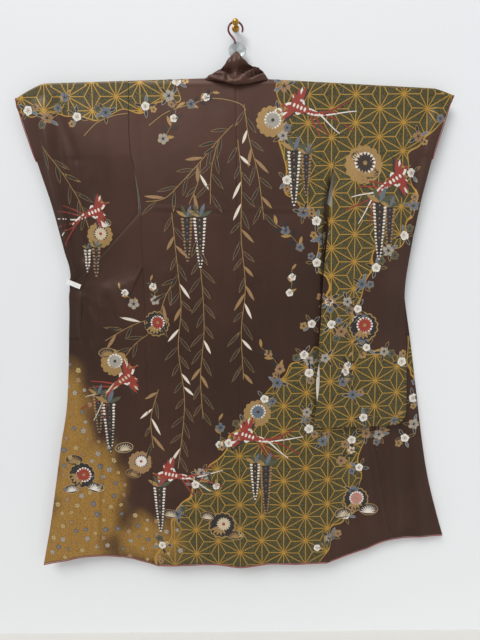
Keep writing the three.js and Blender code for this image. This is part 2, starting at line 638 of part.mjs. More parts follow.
function hanger() {
  rodArm("left");
  rodArm("right");
  const hubShape = new THREE.CylinderGeometry(hub.radius, hub.radius, hub.height, 20);
  const hubMesh = add("hanger_hub", hubShape, "steel");
  hubMesh.rotation.x = Math.PI / 2;
  hubMesh.position.set(0, rodY, axisTop);
  hangerHook();
  const discGeometry = new THREE.CylinderGeometry(disc.radius, disc.radius, disc.thickness, 32);
  const discMesh = add("hanger_disc", discGeometry, "clear");
  discMesh.position.set(disc.centre[0], disc.depth, disc.centre[1]);
}

function wallHook() {
  const profile = [
    [0, 0],
    [plate.width / 2, 0],
    [plate.width / 2, plate.thickness],
    [arm.radius + 2, plate.thickness + 1],
    [arm.radius, plate.thickness + 4],
    [arm.radius, arm.reach],
    ...steps(-0.35, 0.5, 6).map((a) => [
      arm.ball * Math.cos(a * Math.PI),
      arm.reach + arm.ball * 0.9 + arm.ball * Math.sin(a * Math.PI),
    ]),
  ];
  const points = profile.map(([r, y]) => new THREE.Vector2(Math.max(r, 0), y));
  points[points.length - 1].x = 0;
  const mesh = add("wall_hook", new THREE.LatheGeometry(points, 16), "brass");
  mesh.rotation.x = Math.PI;
}

function clipPiece() {
  const depth = clip.mouth / 2 + clip.jaw;
  const outline = new THREE.Shape();
  outline.moveTo(-clip.length / 2, -depth);
  outline.lineTo(clip.length / 2, -depth);
  outline.lineTo(clip.length / 2, -clip.mouth / 2);
  outline.lineTo(-clip.length / 2 + clip.jaw, -clip.mouth / 2);
  outline.lineTo(-clip.length / 2 + clip.jaw, clip.mouth / 2);
  outline.lineTo(-clip.length / 2 + clip.back, clip.mouth / 2);
  outline.lineTo(-clip.length / 2 + clip.back, depth);
  outline.lineTo(-clip.length / 2, depth);
  outline.closePath();
  const geometry = new THREE.ExtrudeGeometry(outline, { depth: clip.height, bevelEnabled: false });
  geometry.translate(0, 0, -clip.height / 2);
  const mesh = add("clip", geometry, "white");
  mesh.rotation.y = clip.tilt;
  mesh.position.set(...clip.centre);
}

// ---- The whole.

for (const name of ["left", "right"]) {
  add("body_" + name, wall(bodyGrid(name), clothThickness), "silk");
  add("sleeve_" + name, wall(sleeveGrid(name), clothThickness), "silk");
  add("okumi_" + name, wall(okumiGrid(name), clothThickness), "silk");
  add("mouth_roll_" + name, tube(mouthPath(name), mouthRollRadius, 24, 3), "red");
}
add("collar", wall(collarGrid(), collarThickness), "silk");
add("hem_roll", tube(hemPath(), hemRollRadius, 60, 3), "red");
hanger();
wallHook();
clipPiece();

// A wall made about a grid faces out only when its rows run the right way, so a mirrored one is turned.
part.traverse((mesh) => {
  if (!mesh.isMesh || !mesh.geometry.index) return;
  const { array } = mesh.geometry.getAttribute("position");
  const index = mesh.geometry.index.array;
  const corner = (k) => new THREE.Vector3().fromArray(array, 3 * index[k]);
  let volume = 0;
  for (let k = 0; k < index.length; k += 3) volume += corner(k).dot(corner(k + 1).cross(corner(k + 2)));
  if (volume > 0) return;
  for (let k = 0; k < index.length; k += 3) [index[k + 1], index[k + 2]] = [index[k + 2], index[k + 1]];
});

export default part;
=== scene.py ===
# A furisode kimono on a rod hanger and a wall hook: cloth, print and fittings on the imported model.
import math
import random
import bmesh
import bpy
import numpy as np
from mathutils import Matrix, Vector
from mathutils.bvhtree import BVHTree


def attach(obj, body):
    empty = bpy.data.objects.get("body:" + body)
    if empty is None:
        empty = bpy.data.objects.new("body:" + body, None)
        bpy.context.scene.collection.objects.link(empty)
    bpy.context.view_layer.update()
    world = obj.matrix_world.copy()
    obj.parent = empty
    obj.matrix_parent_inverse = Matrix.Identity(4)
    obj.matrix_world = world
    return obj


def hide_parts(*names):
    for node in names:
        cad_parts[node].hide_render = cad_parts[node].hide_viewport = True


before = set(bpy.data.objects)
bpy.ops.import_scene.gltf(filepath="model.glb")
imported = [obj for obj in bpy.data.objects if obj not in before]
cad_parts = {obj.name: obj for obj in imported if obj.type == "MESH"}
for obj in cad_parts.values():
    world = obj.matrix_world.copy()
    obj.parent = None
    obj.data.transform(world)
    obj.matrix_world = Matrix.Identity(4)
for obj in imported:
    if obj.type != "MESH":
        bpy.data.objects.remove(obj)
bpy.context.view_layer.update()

mm = 0.001  # the tables below are in millimetres, in the model's own frame

# Camera and room

view = {"place": (0.006, -1.5865, -0.7303), "pitch": 83.5, "roll": -0.5, "lens": 27.06, "sensor": 36}
room = {"floor": -2.035, "halfWidth": 2.6, "height": 1.9, "depth": 3.2}


def linkObject(obj):
    bpy.context.scene.collection.objects.link(obj)
    return obj


def makeCamera():
    data = bpy.data.cameras.new("camera")
    data.lens = view["lens"]
    data.sensor_width = view["sensor"]
    obj = linkObject(bpy.data.objects.new("camera", data))
    pitch = Matrix.Rotation(math.radians(view["pitch"]), 4, "X")
    roll = Matrix.Rotation(math.radians(view["roll"]), 4, "Z")
    obj.matrix_world = Matrix.Translation(view["place"]) @ pitch @ roll
    bpy.context.scene.camera = obj


makeCamera()
print("camera set")

# Number helpers
foldJoin = 2.5  # how sharply two folds that meet give way to the deeper one


def mix(a, b, t):
    return a + (b - a) * t


def curveThrough(a, b, c, d, t):
    # Catmull-Rom from b to c
    turn = 2 * a - 5 * b + 4 * c - d
    bend = 3 * b - a - 3 * c + d
    return 0.5 * (2 * b + (c - a) * t + turn * t**2 + bend * t**3)


def smooth(values, place):
    # a smooth curve through the first axis of values, with level ends
    values = np.asarray(values, float)
    place = np.asarray(place, float)
    last = len(values) - 1
    i = np.clip(np.floor(place).astype(int), 0, last - 1)
    t = (place - i).reshape(place.shape + (1,) * (values.ndim - 1))
    return curveThrough(*(values[np.clip(i + k, 0, last)] for k in (-1, 0, 1, 2)), t)


def named(keys, tables):
    # rows of plain numbers, given names by column
    if isinstance(tables, dict):
        return {side: named(keys, rows) for side, rows in tables.items()}
    return [dict(zip(keys.split(), row)) for row in tables]


def column(rows, key, place):
    return smooth([row[key] for row in rows], place)


def depthColumn(rows, key, place, across):
    # depth of a layer: smooth across each row's own list, then from row to row
    return smooth([smooth(row[key], across * (len(row[key]) - 1)) for row in rows], place)


def centripetal(points, place):
    # the smooth curve that the solids' columns follow
    points = np.asarray(points, float)
    ends = np.vstack([2 * points[0] - points[1], points, 2 * points[-1] - points[-2]])
    i = np.clip(np.floor(place).astype(int), 0, len(points) - 2)
    t = (place - i)[:, None]
    p0, p1, p2, p3 = (ends[i + k] for k in range(4))
    span = lambda a, b: np.sqrt(np.linalg.norm(b - a, axis=1))[:, None]
    d0, d1, d2 = span(p0, p1), span(p1, p2), span(p2, p3)
    enter = ((p1 - p0) / d0 - (p2 - p0) / (d0 + d1) + (p2 - p1) / d1) * d1
    leave = ((p2 - p1) / d1 - (p3 - p1) / (d1 + d2) + (p3 - p2) / d2) * d1
    square = 3 * (p2 - p1) - 2 * enter - leave
    cube = 2 * (p1 - p2) + enter + leave
    return p1 + enter * t + square * t**2 + cube * t**3


def offLine(x, z, x0, z0, x1, z1):
    # share of the way along a line, and the offsets from it across and up
    dx, dz = x1 - x0, z1 - z0
    along = np.clip(((x - x0) * dx + (z - z0) * dz) / (dx * dx + dz * dz), 0, 1)
    return along, x - x0 - along * dx, z - z0 - along * dz


def foldDepth(folds, x, z):
    # soft ridges (out above 0) and troughs along straight lines (x0, z0, x1, z1, out, width)
    up = np.zeros(np.broadcast(x, z).shape)
    down = up
    for *line, out, width in folds:
        _, offX, offZ = offLine(x, z, *line)
        here = (abs(out) * np.exp(-(offX**2 + offZ**2) / width**2)) ** foldJoin
        up, down = (up + here, down) if out > 0 else (up, down + here)
    return up ** (1 / foldJoin) - down ** (1 / foldJoin)


def creaseDepth(creases, x, z):
    # finer ones that die away at both ends
    total = 0.0 * x
    for *line, out, width in creases:
        along, offX, offZ = offLine(x, z, *line)
        end = np.minimum(np.minimum(along, 1 - along) / 0.25, 1)
        total = total + out * end**2 * (3 - 2 * end) * np.exp(-((np.hypot(offX, offZ) / width) ** 2))
    return total


def stack(x, y, z):
    return np.stack(np.broadcast_arrays(x, y, z), axis=-1).astype(float)


def hump(value, middle, width):
    # a soft rise to 1 at the middle
    return np.exp(-(((value - middle) / width) ** 2))


def ripple(x, z, seed=0.0):
    # low uneven waves, so that no panel hangs dead flat
    a = np.sin(x * 0.021 + z * 0.0031 + seed) * np.sin(z * 0.0093 - x * 0.004 + 2.1 * seed)
    b = np.sin(x * 0.057 - z * 0.0067 + 1.7 + seed) * np.sin(z * 0.017 + 0.6 + seed)
    return 0.55 * a + 0.3 * b


# Sizes shared by the cloth

cloth = {"thickness": 1.2, "collarThickness": 2.2, "collarWidth": 44, "seam": 0.2}
rod = {"y": -34, "roll": 7.3, "tipRoll": 3}
sideNames = ("left", "right")
sides = {
    name: dict(zip(("sign", "rodEnd", "rodDrop", "shoulder", "tipDrop", "tip", "neck"), values))
    for name, values in (("left", (-1, 587, 13, 328, 38, 677, 94)), ("right", (1, 605, 37, 328, 16, 668, 98)))
}
axisTop = -165.3  # the rods' line at the middle


def axisZ(side, x):
    out = np.abs(x)
    past = np.maximum(0, (out - side["rodEnd"]) / (side["tip"] - side["rodEnd"]))
    level = axisTop - side["rodDrop"] * np.minimum(out, side["rodEnd"]) / side["rodEnd"]
    return level - side["tipDrop"] * past**1.3


def overRod(side, x, angle):
    # the cloth's roll over the rod, from the room's side (0) to the wall's (pi)
    pastRod = side["rodEnd"] + 8
    past = np.clip((np.abs(x) - pastRod) / (side["tip"] - pastRod), 0, 1)
    radius = mix(rod["roll"], rod["tipRoll"], past)
    return stack(x, rod["y"] - radius * np.cos(angle), axisZ(side, x) + radius * np.sin(angle))


rollAngles = np.linspace(0, np.pi, 17)


# Sleeves
# Rows run from the shoulder to the foot; room and wall are the depths of the two layers.

sleeveRows = named("z inner outer room wall", {
    "left": [
        (-200, 330, 673, [-41.6, -42, -42, -38], [-26.5, -25, -26, -31]),
        (-285, 333, 656, [-43, -44, -45, -39], [-26.5, -24, -24, -29]),
        (-374, 331, 632, [-44, -45, -46, -38], [-27, -23, -22, -30]),
        (-402, 326, 624, [-43, -44, -45, -35.5], [-26, -22, -21, -32.5]),
        (-450, 322, 610, [-39, -42, -44, -35.5], [-24, -20, -19, -32.5]),
        (-545, 323, 581, [-33, -37, -40, -36], [-21, -17, -17, -33]),
        (-660, 326, 554, [-32, -36, -38, -36.5], [-19, -15, -17, -33.5]),
        (-745, 328, 537, [-31, -35, -37, -36.5], [-18, -15, -24, -33.5]),
        (-800, 328, 541, [-31, -35, -36, -36.5], [-18, -14, -24, -33.5]),
        (-965, 328, 550, [-30, -34, -35, -33.5], [-17, -13, -15, -30.5]),
        (-1100, 326, 560, [-29, -33, -34, -31.5], [-16, -12, -13, -28.5]),
        (-1180, 325, 567, [-27, -31, -32, -29.5], [-17, -15, -16, -26.5]),
        (-1209, 325, 568, [-24, -25, -26, -27], [-21, -22, -23, -24]),
    ],
    "right": [
        (-205, 328, 660, [-41.6, -42, -42, -38], [-26.5, -25, -26, -31]),
        (-290, 322, 640, [-43, -44, -46, -41], [-26.5, -25, -25, -29]),
        (-376, 309, 616, [-45, -46, -47, -40], [-27, -26, -26, -30]),
        (-405, 306, 609, [-46, -47, -47, -38], [-28, -28, -28, -35]),
        (-450, 302, 598, [-50, -50, -48, -38], [-38, -34, -31, -35]),
        (-545, 293, 576, [-60, -56, -50, -38], [-50, -43, -36, -35]),
        (-660, 280, 556, [-64, -60, -52, -39], [-54, -47, -39, -36]),
        (-800, 268, 537, [-67, -62, -54, -40], [-56, -49, -41, -37]),
        (-908, 263, 540, [-69, -64, -55, -41], [-57, -50, -42, -38]),
        (-1010, 256, 546, [-70, -65, -57, -43], [-58, -51, -43, -40]),
        (-1165, 249, 551, [-71, -66, -58, -44], [-59, -52, -45, -41]),
        (-1232, 245, 551, [-69, -64, -56, -45], [-61, -55, -48, -42]),
        (-1260, 244, 551, [-66.5, -61.5, -53.5, -46.5], [-63.5, -58.5, -50.5, -43.5]),
    ],
})
sleeveFolds = {
    "left": [
        (-606, -230, -548, -690, 8, 24), (-562, -225, -500, -400, -6, 15),
        (-500, -400, -492, -700, -6, 13), (-430, -300, -420, -640, 3, 40),
    ],
    "right": [
        (622, -260, 560, -620, 5, 16), (592, -250, 532, -640, -5, 14), (420, -420, 350, -1180, -4, 30),
        (490, -700, 470, -1200, 5, 34),
    ],
}
sleeveCreases = {
    "left": [
        (-552, -540, -514, -792, 4, 14), (-300, -590, -388, -703, 6, 8), (-376, -690, -490, -817, 6, 8),
        (-305, -781, -398, -1010, -4, 12), (-282, -815, -348, -1010, 4, 15),
        (-478, -832, -420, -1000, 6, 14), (-585, -215, -566, -330, 1.6, 6),
        (-640, -240, -600, -420, 1.5, 9), (-470, -215, -450, -520, 1.3, 14),
        (-400, -220, -392, -600, -1.3, 18), (-600, -330, -530, -640, 1.8, 8),
        (-360, -560, -352, -1120, 1.2, 14), (-545, -215, -520, -300, -1.4, 8),
        (-602, -232, -530, -740, 6, 17), (-566, -225, -502, -720, -7, 15),
        (-630, -260, -560, -600, -3, 9), (-560, -560, -510, -770, 3, 7),
    ],
    "right": [
        (640, -215, 600, -330, 1.8, 7), (655, -230, 560, -560, -1.5, 10),
        (606, -250, 540, -480, 1.8, 7), (560, -225, 500, -700, 1.3, 16),
        (480, -250, 410, -900, -1.3, 18), (400, -230, 345, -720, 1.3, 16),
        (330, -620, 285, -1180, 1.6, 14), (535, -560, 515, -930, 2.0, 12),
        (430, -980, 425, -1230, 1.6, 20), (525, -900, 540, -1200, -1.6, 13),
        (628, -300, 560, -600, 3.5, 8), (575, -600, 520, -1000, -3, 12), (640, -215, 618, -300, -4, 9),
    ],
}
sleeve = {"corner": 44, "columns": 44, "layerRows": 130, "levelOut": 1.1, "hemQuiet": 12, "hemFade": 60}
tuck = {"reach": 10, "z": 545, "tall": 90}  # the left sleeve slips behind the body's edge
sliver = {"reach": 9, "hide": 12, "z": 1110, "tall": 75}  # the right sleeve's lining shows at its inner edge
# the right side falls back beside the sleeve, and the front under it gives way at this line
gutter = {
    "deep": 40, "wide": 16, "from": -440, "to": -1150, "ramp": 90, "round": 0.8,
    "under": {"x": 288, "spread": 40, "share": 0.9, "rows": 8},
}


def sleeveLayer(name, layer, places, across):
    side, rows = sides[name], sleeveRows[name]
    start = mix(side["shoulder"] + 1, side["tip"], across)
    top = overRod(side, side["sign"] * start, 0 if layer == "room" else np.pi)
    row = np.maximum(places - 1, 0)
    inner, outer = column(rows, "inner", row)[:, None], column(rows, "outer", row)[:, None]
    out = mix(inner, outer, across)
    y = depthColumn(rows, layer, row, across)
    z = column(rows, "z", row)[:, None] + 0 * out
    rounding = np.clip((rows[-1]["z"] + sleeve["corner"] - z) / sleeve["corner"], 0, 1)
    out = out - sleeve["corner"] * (1 - np.sqrt(1 - rounding**2)) * across**4
    z = z + (top[:, 2] - axisZ(side, side["shoulder"])) * np.exp(-row * sleeve["levelOut"])[:, None]
    if name == "left":
        out = out - tuck["reach"] * hump(z, -tuck["z"], tuck["tall"]) * (1 - across)
    else:
        shown = hump(z, -sliver["z"], sliver["tall"])
        reach = sliver["reach"] * shown if layer == "room" else sliver["hide"] * (1 - shown)
        out = out + reach * np.clip(1 - 9 * across, 0, 1)
    x = side["sign"] * out
    near = np.minimum(1, 2 * row)[:, None]
    quiet = np.clip((z - rows[-1]["z"] - sleeve["hemQuiet"]) / sleeve["hemFade"], 0, 1)
    quiet = quiet * np.clip((1 - across) * 12, 0, 1)
    if layer == "room":
        y = y - foldDepth(sleeveFolds[name], x, z) * near
        y = y - (creaseDepth(sleeveCreases[name], x, z) + ripple(x, z, 1)) * near * quiet
    else:
        y = y + (ripple(x, z, 4) + 0.8 * creaseDepth(sleeveCreases[name], x + 25, z + 60)) * near * quiet
    near = np.minimum(places, 1)[:, None]
    x = mix(side["sign"] * start, x, near)
    return stack(x, mix(top[:, 1], y, near), mix(top[:, 2], z, near))


def sleeveGrid(name):
    side, rows = sides[name], sleeveRows[name]
    across = np.sort(np.r_[np.linspace(0, 1, sleeve["columns"]), 0.004, 0.985, 0.993])
    places = np.r_[np.linspace(0.2, 1, 5)[:-1], np.linspace(1, len(rows), sleeve["layerRows"])]
    x = side["sign"] * mix(side["shoulder"] + 1, side["tip"], across)
    arch = np.array([overRod(side, x, a) for a in rollAngles])
    roomSide, wallSide = (sleeveLayer(name, layer, places, across) for layer in ("room", "wall"))
    return np.concatenate([roomSide[::-1], arch, wallSide])


# Back and fronts

backRows = named("z outer y drop", {
    "left": [
        (-180, 328.4, [-45, -43, -42.5, -41.8]),
        (-230, 330, [-46, -44, -43, -42.4]),
        (-285, 332, [-47, -46, -44, -43]),
        (-374, 330, [-47, -48, -46, -44]),
        (-440, 317, [-48, -49, -48, -46]),
        (-545, 302, [-49, -50, -50, -47.8]),
        (-700, 302, [-49, -50, -51, -48.2]),
        (-870, 299, [-49, -51, -51, -47.8]),
        (-1166, 300, [-50, -52, -53, -48]),
        (-1441, 293, [-51, -54, -54, -49]),
        (-1742, 291, [-53, -52, -56, -50], [-10, 3, 0, -2]),
    ],
    "right": [
        (-180, 328.4, [-45, -43, -42.5, -41.8]),
        (-230, 326, [-46, -44, -43, -42.4]),
        (-290, 321, [-47, -46, -44, -43]),
        (-376, 308, [-47, -48, -47, -45]),
        (-450, 299, [-48, -49, -48, -46]),
        (-545, 289, [-49, -50, -49, -47]),
        (-700, 286, [-49, -50, -50, -47]),
        (-870, 288, [-49, -50, -50, -47]),
        (-1166, 298, [-50, -51, -51, -48]),
        (-1441, 303, [-51, -52, -55, -49]),
        (-1740, 306, [-53, -56, -53, -50], [-12, 1, 0, 1]),
    ],
})
backFolds = [
    (-70, -900, -105, -1720, 4, 26), (-155, -1000, -190, -1740, -3, 24),
    (-240, -760, -235, -1700, 3, 24), (60, -800, 95, -1740, -3, 30), (150, -620, 190, -1720, 4, 30),
    (-190, -260, -110, -500, 2, 30),
]
backCreases = [
    (-300, -549, 0, -556, 1.3, 5), (0, -556, 303, -560, 1.3, 5), (-300, -562, 0, -569, -0.9, 5),
    (0, -569, 303, -573, -0.9, 5), (-60, -620, -85, -1560, 1.6, 15),
    (-120, -700, -130, -1300, -1.4, 18), (-210, -640, -205, -1180, 1.4, 16),
    (-270, -700, -262, -1500, 1.5, 12), (45, -650, 60, -1400, 1.4, 18),
    (115, -640, 150, -1500, -1.5, 20), (230, -800, 250, -1650, 1.8, 14),
    (-250, -200, -200, -480, 1.2, 16), (-300, -240, -280, -520, -1.2, 10),
    (170, -200, 150, -520, 1.1, 18), (250, -200, 270, -480, 1.3, 14), (290, -300, 276, -540, -1.3, 9),
    (-160, -1450, -170, -1740, 1.8, 13), (40, -1500, 48, -1745, 1.8, 15),
    (270, -1500, 275, -1735, 1.8, 12), (130, -1560, 140, -1735, -1.6, 12),
    (-300, -905, 300, -915, 0.5, 4), (-300, -1265, 300, -1270, 0.5, 4),
]
neckRim = {"depth": 13, "power": 1.6}

frontRows = named("edge okumi mid side", {
    "left": [
        ([-673, -44, -1741], [-522, -50, -1709], [-390, -46, -1714], [-287, -47, -1743]),
        ([-642, -45, -1600], [-500, -52, -1612], [-385, -47, -1610], [-288, -46.5, -1610]),
        ([-616, -46, -1460], [-475, -53, -1475], [-375, -48, -1470], [-289, -46, -1460]),
        ([-591, -47, -1320], [-453, -54, -1340], [-370, -50, -1330], [-293, -45.5, -1310]),
        ([-566, -48, -1190], [-437, -55, -1180], [-365, -51, -1170], [-296, -45, -1160]),
        ([-553, -48, -1060], [-424, -56, -1060], [-360, -51, -1040], [-296, -44.6, -1020]),
        ([-547, -48, -966], [-413, -57, -950], [-352, -51, -930], [-295, -44.4, -910]),
        ([-542, -47, -880], [-388, -56, -875], [-338, -50, -850], [-294, -44, -830]),
        ([-539, -46, -812], [-360, -54, -806], [-322, -47, -780], [-290, -43, -765]),
        ([-530, -46, -789], [-318, -46.6, -730], [-297, -44, -710], [-278, -42, -695]),
        ([-513, -46.5, -775], [-292, -44, -640], [-280, -42.6, -620], [-268, -41.6, -605]),
        ([-497, -46.5, -768], [-285, -43.6, -545], [-273, -42.4, -532], [-261, -41.5, -520]),
        ([-494, -44, -762], [-283, -41.3, -536], [-271, -40, -523], [-259, -39.2, -512]),
        ([-497, -41.5, -768], [-285, -39, -545], [-273, -37.8, -532], [-259, -37, -517]),
        ([-415, -41.5, -790], [-292, -38.6, -620], [-275, -37.5, -585], [-255, -36.5, -514]),
        ([-320, -40, -745], [-280, -38, -640], [-268, -36.8, -572], [-251, -36, -506]),
        ([-230, -37, -660], [-222, -36, -610], [-238, -35, -540], [-258, -34.6, -484]),
        ([-150, -33, -520], [-178, -32, -486], [-225, -32, -465], [-284, -31, -446]),
        ([-100, -29, -380], [-143, -29, -374], [-225, -28.5, -380], [-322, -27, -402]),
        ([-68, -26, -270], [-112, -26, -270], [-220, -26.6, -280], [-330.5, -26.5, -285]),
        ([-50, -25.2, -195], [-96, -25.4, -195], [-210, -26.7, -198], [-329, -26.7, -200]),
    ],
    "right": [
        ([695, -26, -1656], [522, -34, -1665], [414, -36, -1702], [302, -47, -1738]),
        ([672, -26, -1580], [503, -33, -1570], [405, -36, -1590], [300, -46.5, -1610]),
        ([636, -25, -1442], [483, -32, -1448], [396, -36, -1455], [299, -46, -1460]),
        ([612, -24, -1310], [458, -30, -1330], [380, -35, -1330], [298, -45.5, -1320]),
        ([590, -23, -1160], [436, -28, -1180], [370, -33, -1180], [294, -45, -1170]),
        ([577, -22, -1060], [420, -26, -1060], [358, -31, -1050], [289, -44.5, -1040]),
        ([563, -21, -966], [405, -25, -950], [345, -30, -930], [285, -44, -910]),
        ([549, -20, -880], [385, -24, -875], [335, -29, -850], [283, -43.5, -830]),
        ([538, -19, -812], [358, -24, -806], [318, -30, -780], [278, -42, -765]),
        ([529, -19, -789], [316, -28, -730], [295, -33, -710], [273, -40, -695]),
        ([513, -19, -775], [292, -32, -640], [280, -35, -620], [266, -39, -605]),
        ([497, -20.5, -768], [285, -33, -545], [273, -35.5, -532], [261, -38, -520]),
        ([494, -17, -762], [283, -30.5, -536], [271, -33, -523], [259, -35.5, -512]),
        ([497, -13.5, -768], [285, -28, -545], [273, -30.5, -532], [259, -33, -517]),
        ([415, -14, -790], [292, -26, -620], [275, -28, -585], [255, -32.5, -514]),
        ([320, -15, -745], [280, -24, -640], [268, -27, -572], [251, -31.5, -506]),
        ([230, -18, -660], [222, -22, -610], [238, -26, -540], [256, -30.5, -484]),
        ([150, -22, -520], [178, -24, -486], [222, -26, -465], [274, -29, -446]),
        ([100, -25, -380], [143, -26, -374], [216, -27, -380], [302, -28, -405]),
        ([68, -26, -270], [112, -26, -270], [210, -26.6, -280], [318.5, -26.6, -290]),
        ([52, -25.2, -195], [100, -25.4, -195], [212, -26.7, -200], [325.5, -26.7, -205]),
    ],
})
frontFolds = {
    "left": [
        (-500, -830, -455, -1330, 5, 22), (-470, -815, -395, -1010, -5, 17),
        (-415, -800, -345, -930, 3, 16), (-430, -1180, -380, -1620, -5, 16),
        (-560, -1300, -590, -1730, 4, 26), (-340, -1330, -335, -1720, 4, 20),
    ],
    "right": [
        (560, -1150, 615, -1640, 6, 24), (520, -1120, 560, -1640, -5, 20),
        (400, -1280, 430, -1680, 4, 26), (345, -1260, 355, -1700, -4, 20),
    ],
}
frontCreases = {
    "left": [
        (-446, -1330, -476, -1712, -4, 4), (-457, -1330, -487, -1712, 2, 6),
        (-512, -800, -452, -935, 2.2, 9), (-505, -806, -478, -985, -2.0, 7),
        (-498, -812, -420, -880, 2.0, 8), (-470, -812, -372, -862, -1.6, 9),
        (-440, -790, -345, -830, 1.6, 10), (-400, -770, -322, -790, -1.4, 9),
        (-523, -835, -508, -960, 2.0, 6), (-415, -1319, -399, -1464, 2.2, 7),
        (-399, -1464, -354, -1560, 2.2, 7), (-425, -1330, -409, -1470, -1.8, 7),
        (-360, -900, -345, -1250, 1.6, 14), (-460, -1150, -480, -1640, 1.6, 12),
        (-555, -1120, -600, -1560, -1.6, 14), (-600, -1560, -640, -1730, 1.6, 12),
        (-330, -1200, -322, -1700, -1.4, 12), (-508, -805, -500, -1000, 5, 8),
        (-486, -800, -470, -1010, -6, 9), (-455, -800, -425, -960, 6, 13),
        (-425, -812, -372, -960, -5, 11), (-440, -790, -330, -700, -5, 12),
        (-400, -800, -310, -770, 4, 12), (-410, -1310, -398, -1450, 5, 9),
        (-398, -1450, -362, -1530, 5, 9), (-432, -1320, -420, -1460, -4, 8),
        (-375, -1330, -365, -1450, -3, 14), (-520, -1050, -540, -1500, 3.5, 13),
        (-470, -1500, -490, -1720, 3.5, 14),
    ],
    "right": [
        (436, -1240, 510, -1670, -4, 4), (424, -1240, 498, -1670, 2.5, 6),
        (575, -1060, 640, -1560, 1.8, 12), (540, -1180, 585, -1650, -1.6, 10),
        (480, -1270, 510, -1660, 1.6, 11), (595, -1400, 660, -1640, -1.5, 9),
        (370, -1290, 385, -1700, 1.6, 14), (430, -1300, 470, -1650, -1.5, 12),
        (515, -1240, 548, -1690, 5, 13), (560, -1240, 600, -1690, -5, 13),
        (470, -1250, 492, -1560, -3, 11),
    ],
}
front = {"foldRow": 9, "tipRow": 6, "okumiTop": 15.5, "top": 20, "columns": 40}
back = {"columns": 46, "rows": 210, "yokeRows": 15, "yokeY": -45, "seamDip": 0.9, "seamWide": 2.2}


def besideSleeve(z):
    start = np.clip((gutter["from"] - z) / gutter["ramp"], 0, 1)
    end = np.clip((z - gutter["to"]) / gutter["ramp"], 0, 1)
    return gutter["deep"] * start * end


def backSheet(name, places, across):
    side, rows = sides[name], backRows[name]
    out = mix(cloth["seam"] / 2, column(rows, "outer", places)[:, None], across)
    nearHem = np.maximum(0, places - len(rows) + 2)[:, None]
    z = column(rows, "z", places)[:, None] + nearHem * smooth(rows[-1]["drop"], 3 * across)
    x = side["sign"] * out
    middle = np.minimum(1, 6 * across * (1 - across))
    fall = 0 * out
    if name == "right":
        edge = column(rows, "outer", places)[:, None]
        fall = np.clip((out - edge + gutter["wide"]) / gutter["wide"], 0, 1)
    y = depthColumn(rows, "y", places, across) - foldDepth(backFolds, x, z) * middle
    settle = np.minimum(1, 14 * across * (1 - across)) * np.clip(places, 0, 1)[:, None]
    y = y - (creaseDepth(backCreases, x, z) + ripple(x, z)) * settle
    seamDip = back["seamDip"] * hump(out, 0, back["seamWide"])
    return stack(x, y + seamDip + besideSleeve(z) * fall ** gutter["round"], z)


def yokeSheet(name, drops, across):
    # from the rod down to the first full row, the inner edge follows the neck's rim to the centre
    side = sides[name]
    drop = drops[:, None]
    edgeX = side["sign"] * mix(side["neck"], cloth["seam"] / 2, drop)
    edgeZ = mix(axisZ(side, side["neck"]), axisTop - neckRim["depth"], drop ** neckRim["power"])
    edge = stack(edgeX, mix(rod["y"] - rod["roll"], back["yokeY"], drop), edgeZ)
    top = overRod(side, np.array([side["sign"] * side["shoulder"]], float), 0)
    outer = top + (backSheet(name, np.array([0.0]), np.array([1.0]))[0] - top) * drop
    return edge + (outer[:, None] - edge) * across[:, None]


def frontSheet(name, rows, c):
    # c runs from 0 at the free edge through 1 at the overlap seam to 3 at the side
    keys = ("edge", "okumi", "mid", "side")
    columns = np.array([centripetal([row[key] for row in frontRows[name]], rows) for key in keys])
    c = np.broadcast_to(c, (len(rows), np.shape(c)[-1]))
    i = np.clip(np.floor(c).astype(int), 0, 2)
    which = np.arange(len(rows))[:, None]
    around = (columns[np.clip(i + k, 0, 3), which] for k in (-1, 0, 1, 2))
    x, y, z = np.moveaxis(curveThrough(*around, (c - i)[..., None]), -1, 0)
    toFold = np.clip(front["foldRow"] - rows, 0, 2)[:, None] / 2
    toSide = np.clip(3 - c, 0, 1)
    y = y - foldDepth(frontFolds[name], x, z) * toFold * toSide
    y = y - (creaseDepth(frontCreases[name], x, z) + ripple(x, z, 2)) * toFold * toSide
    if name == "right":
        under = gutter["under"]
        near = hump(x, under["x"], under["spread"]) * (rows < under["rows"])[:, None]
        y = y + under["share"] * besideSleeve(z) * near
    return stack(x, y, z)


def collarShare(name, rows):
    # the share of each row that the collar's width takes up: all of it above the overlap panel
    share = np.full(len(rows), 0.2)
    edge = frontSheet(name, rows, np.zeros((len(rows), 1)))[:, 0]
    for _ in range(5):
        here = frontSheet(name, rows, share[:, None])[:, 0]
        share = np.minimum(share * cloth["collarWidth"] / np.linalg.norm(here - edge, axis=1), 1)
    return np.where(rows > front["okumiTop"], 1, share)


hemToTip = np.linspace(0, front["tipRow"], 100)
tipToOkumiTop = np.r_[
    np.linspace(front["tipRow"] + 0.003, 9, 40)[:-1],
    np.linspace(9, 14, 80)[:-1],
    np.linspace(14, front["okumiTop"], 14),
]
okumiTopToShoulder = np.linspace(front["okumiTop"] + 0.08, front["top"], 50)


def rowWidth(name, rows):
    ends = frontSheet(name, rows, np.array([0.0, 1.0]))
    return np.linalg.norm(ends[:, 0] - ends[:, 1], axis=1)


def okumiSheet(name):
    rows = np.r_[hemToTip, tipToOkumiTop]
    gap = cloth["seam"] / rowWidth(name, rows)
    # its edge is caught inside the collar
    start = np.minimum(collarShare(name, rows) - 4 * gap, 0.95)
    start = start * np.clip((rows - front["tipRow"]) / 0.6, 0, 1)
    across = np.sort(np.r_[np.linspace(0, 1, 24), 0.01, 0.99])
    return frontSheet(name, rows, mix(start[:, None], (1 - gap)[:, None], across))


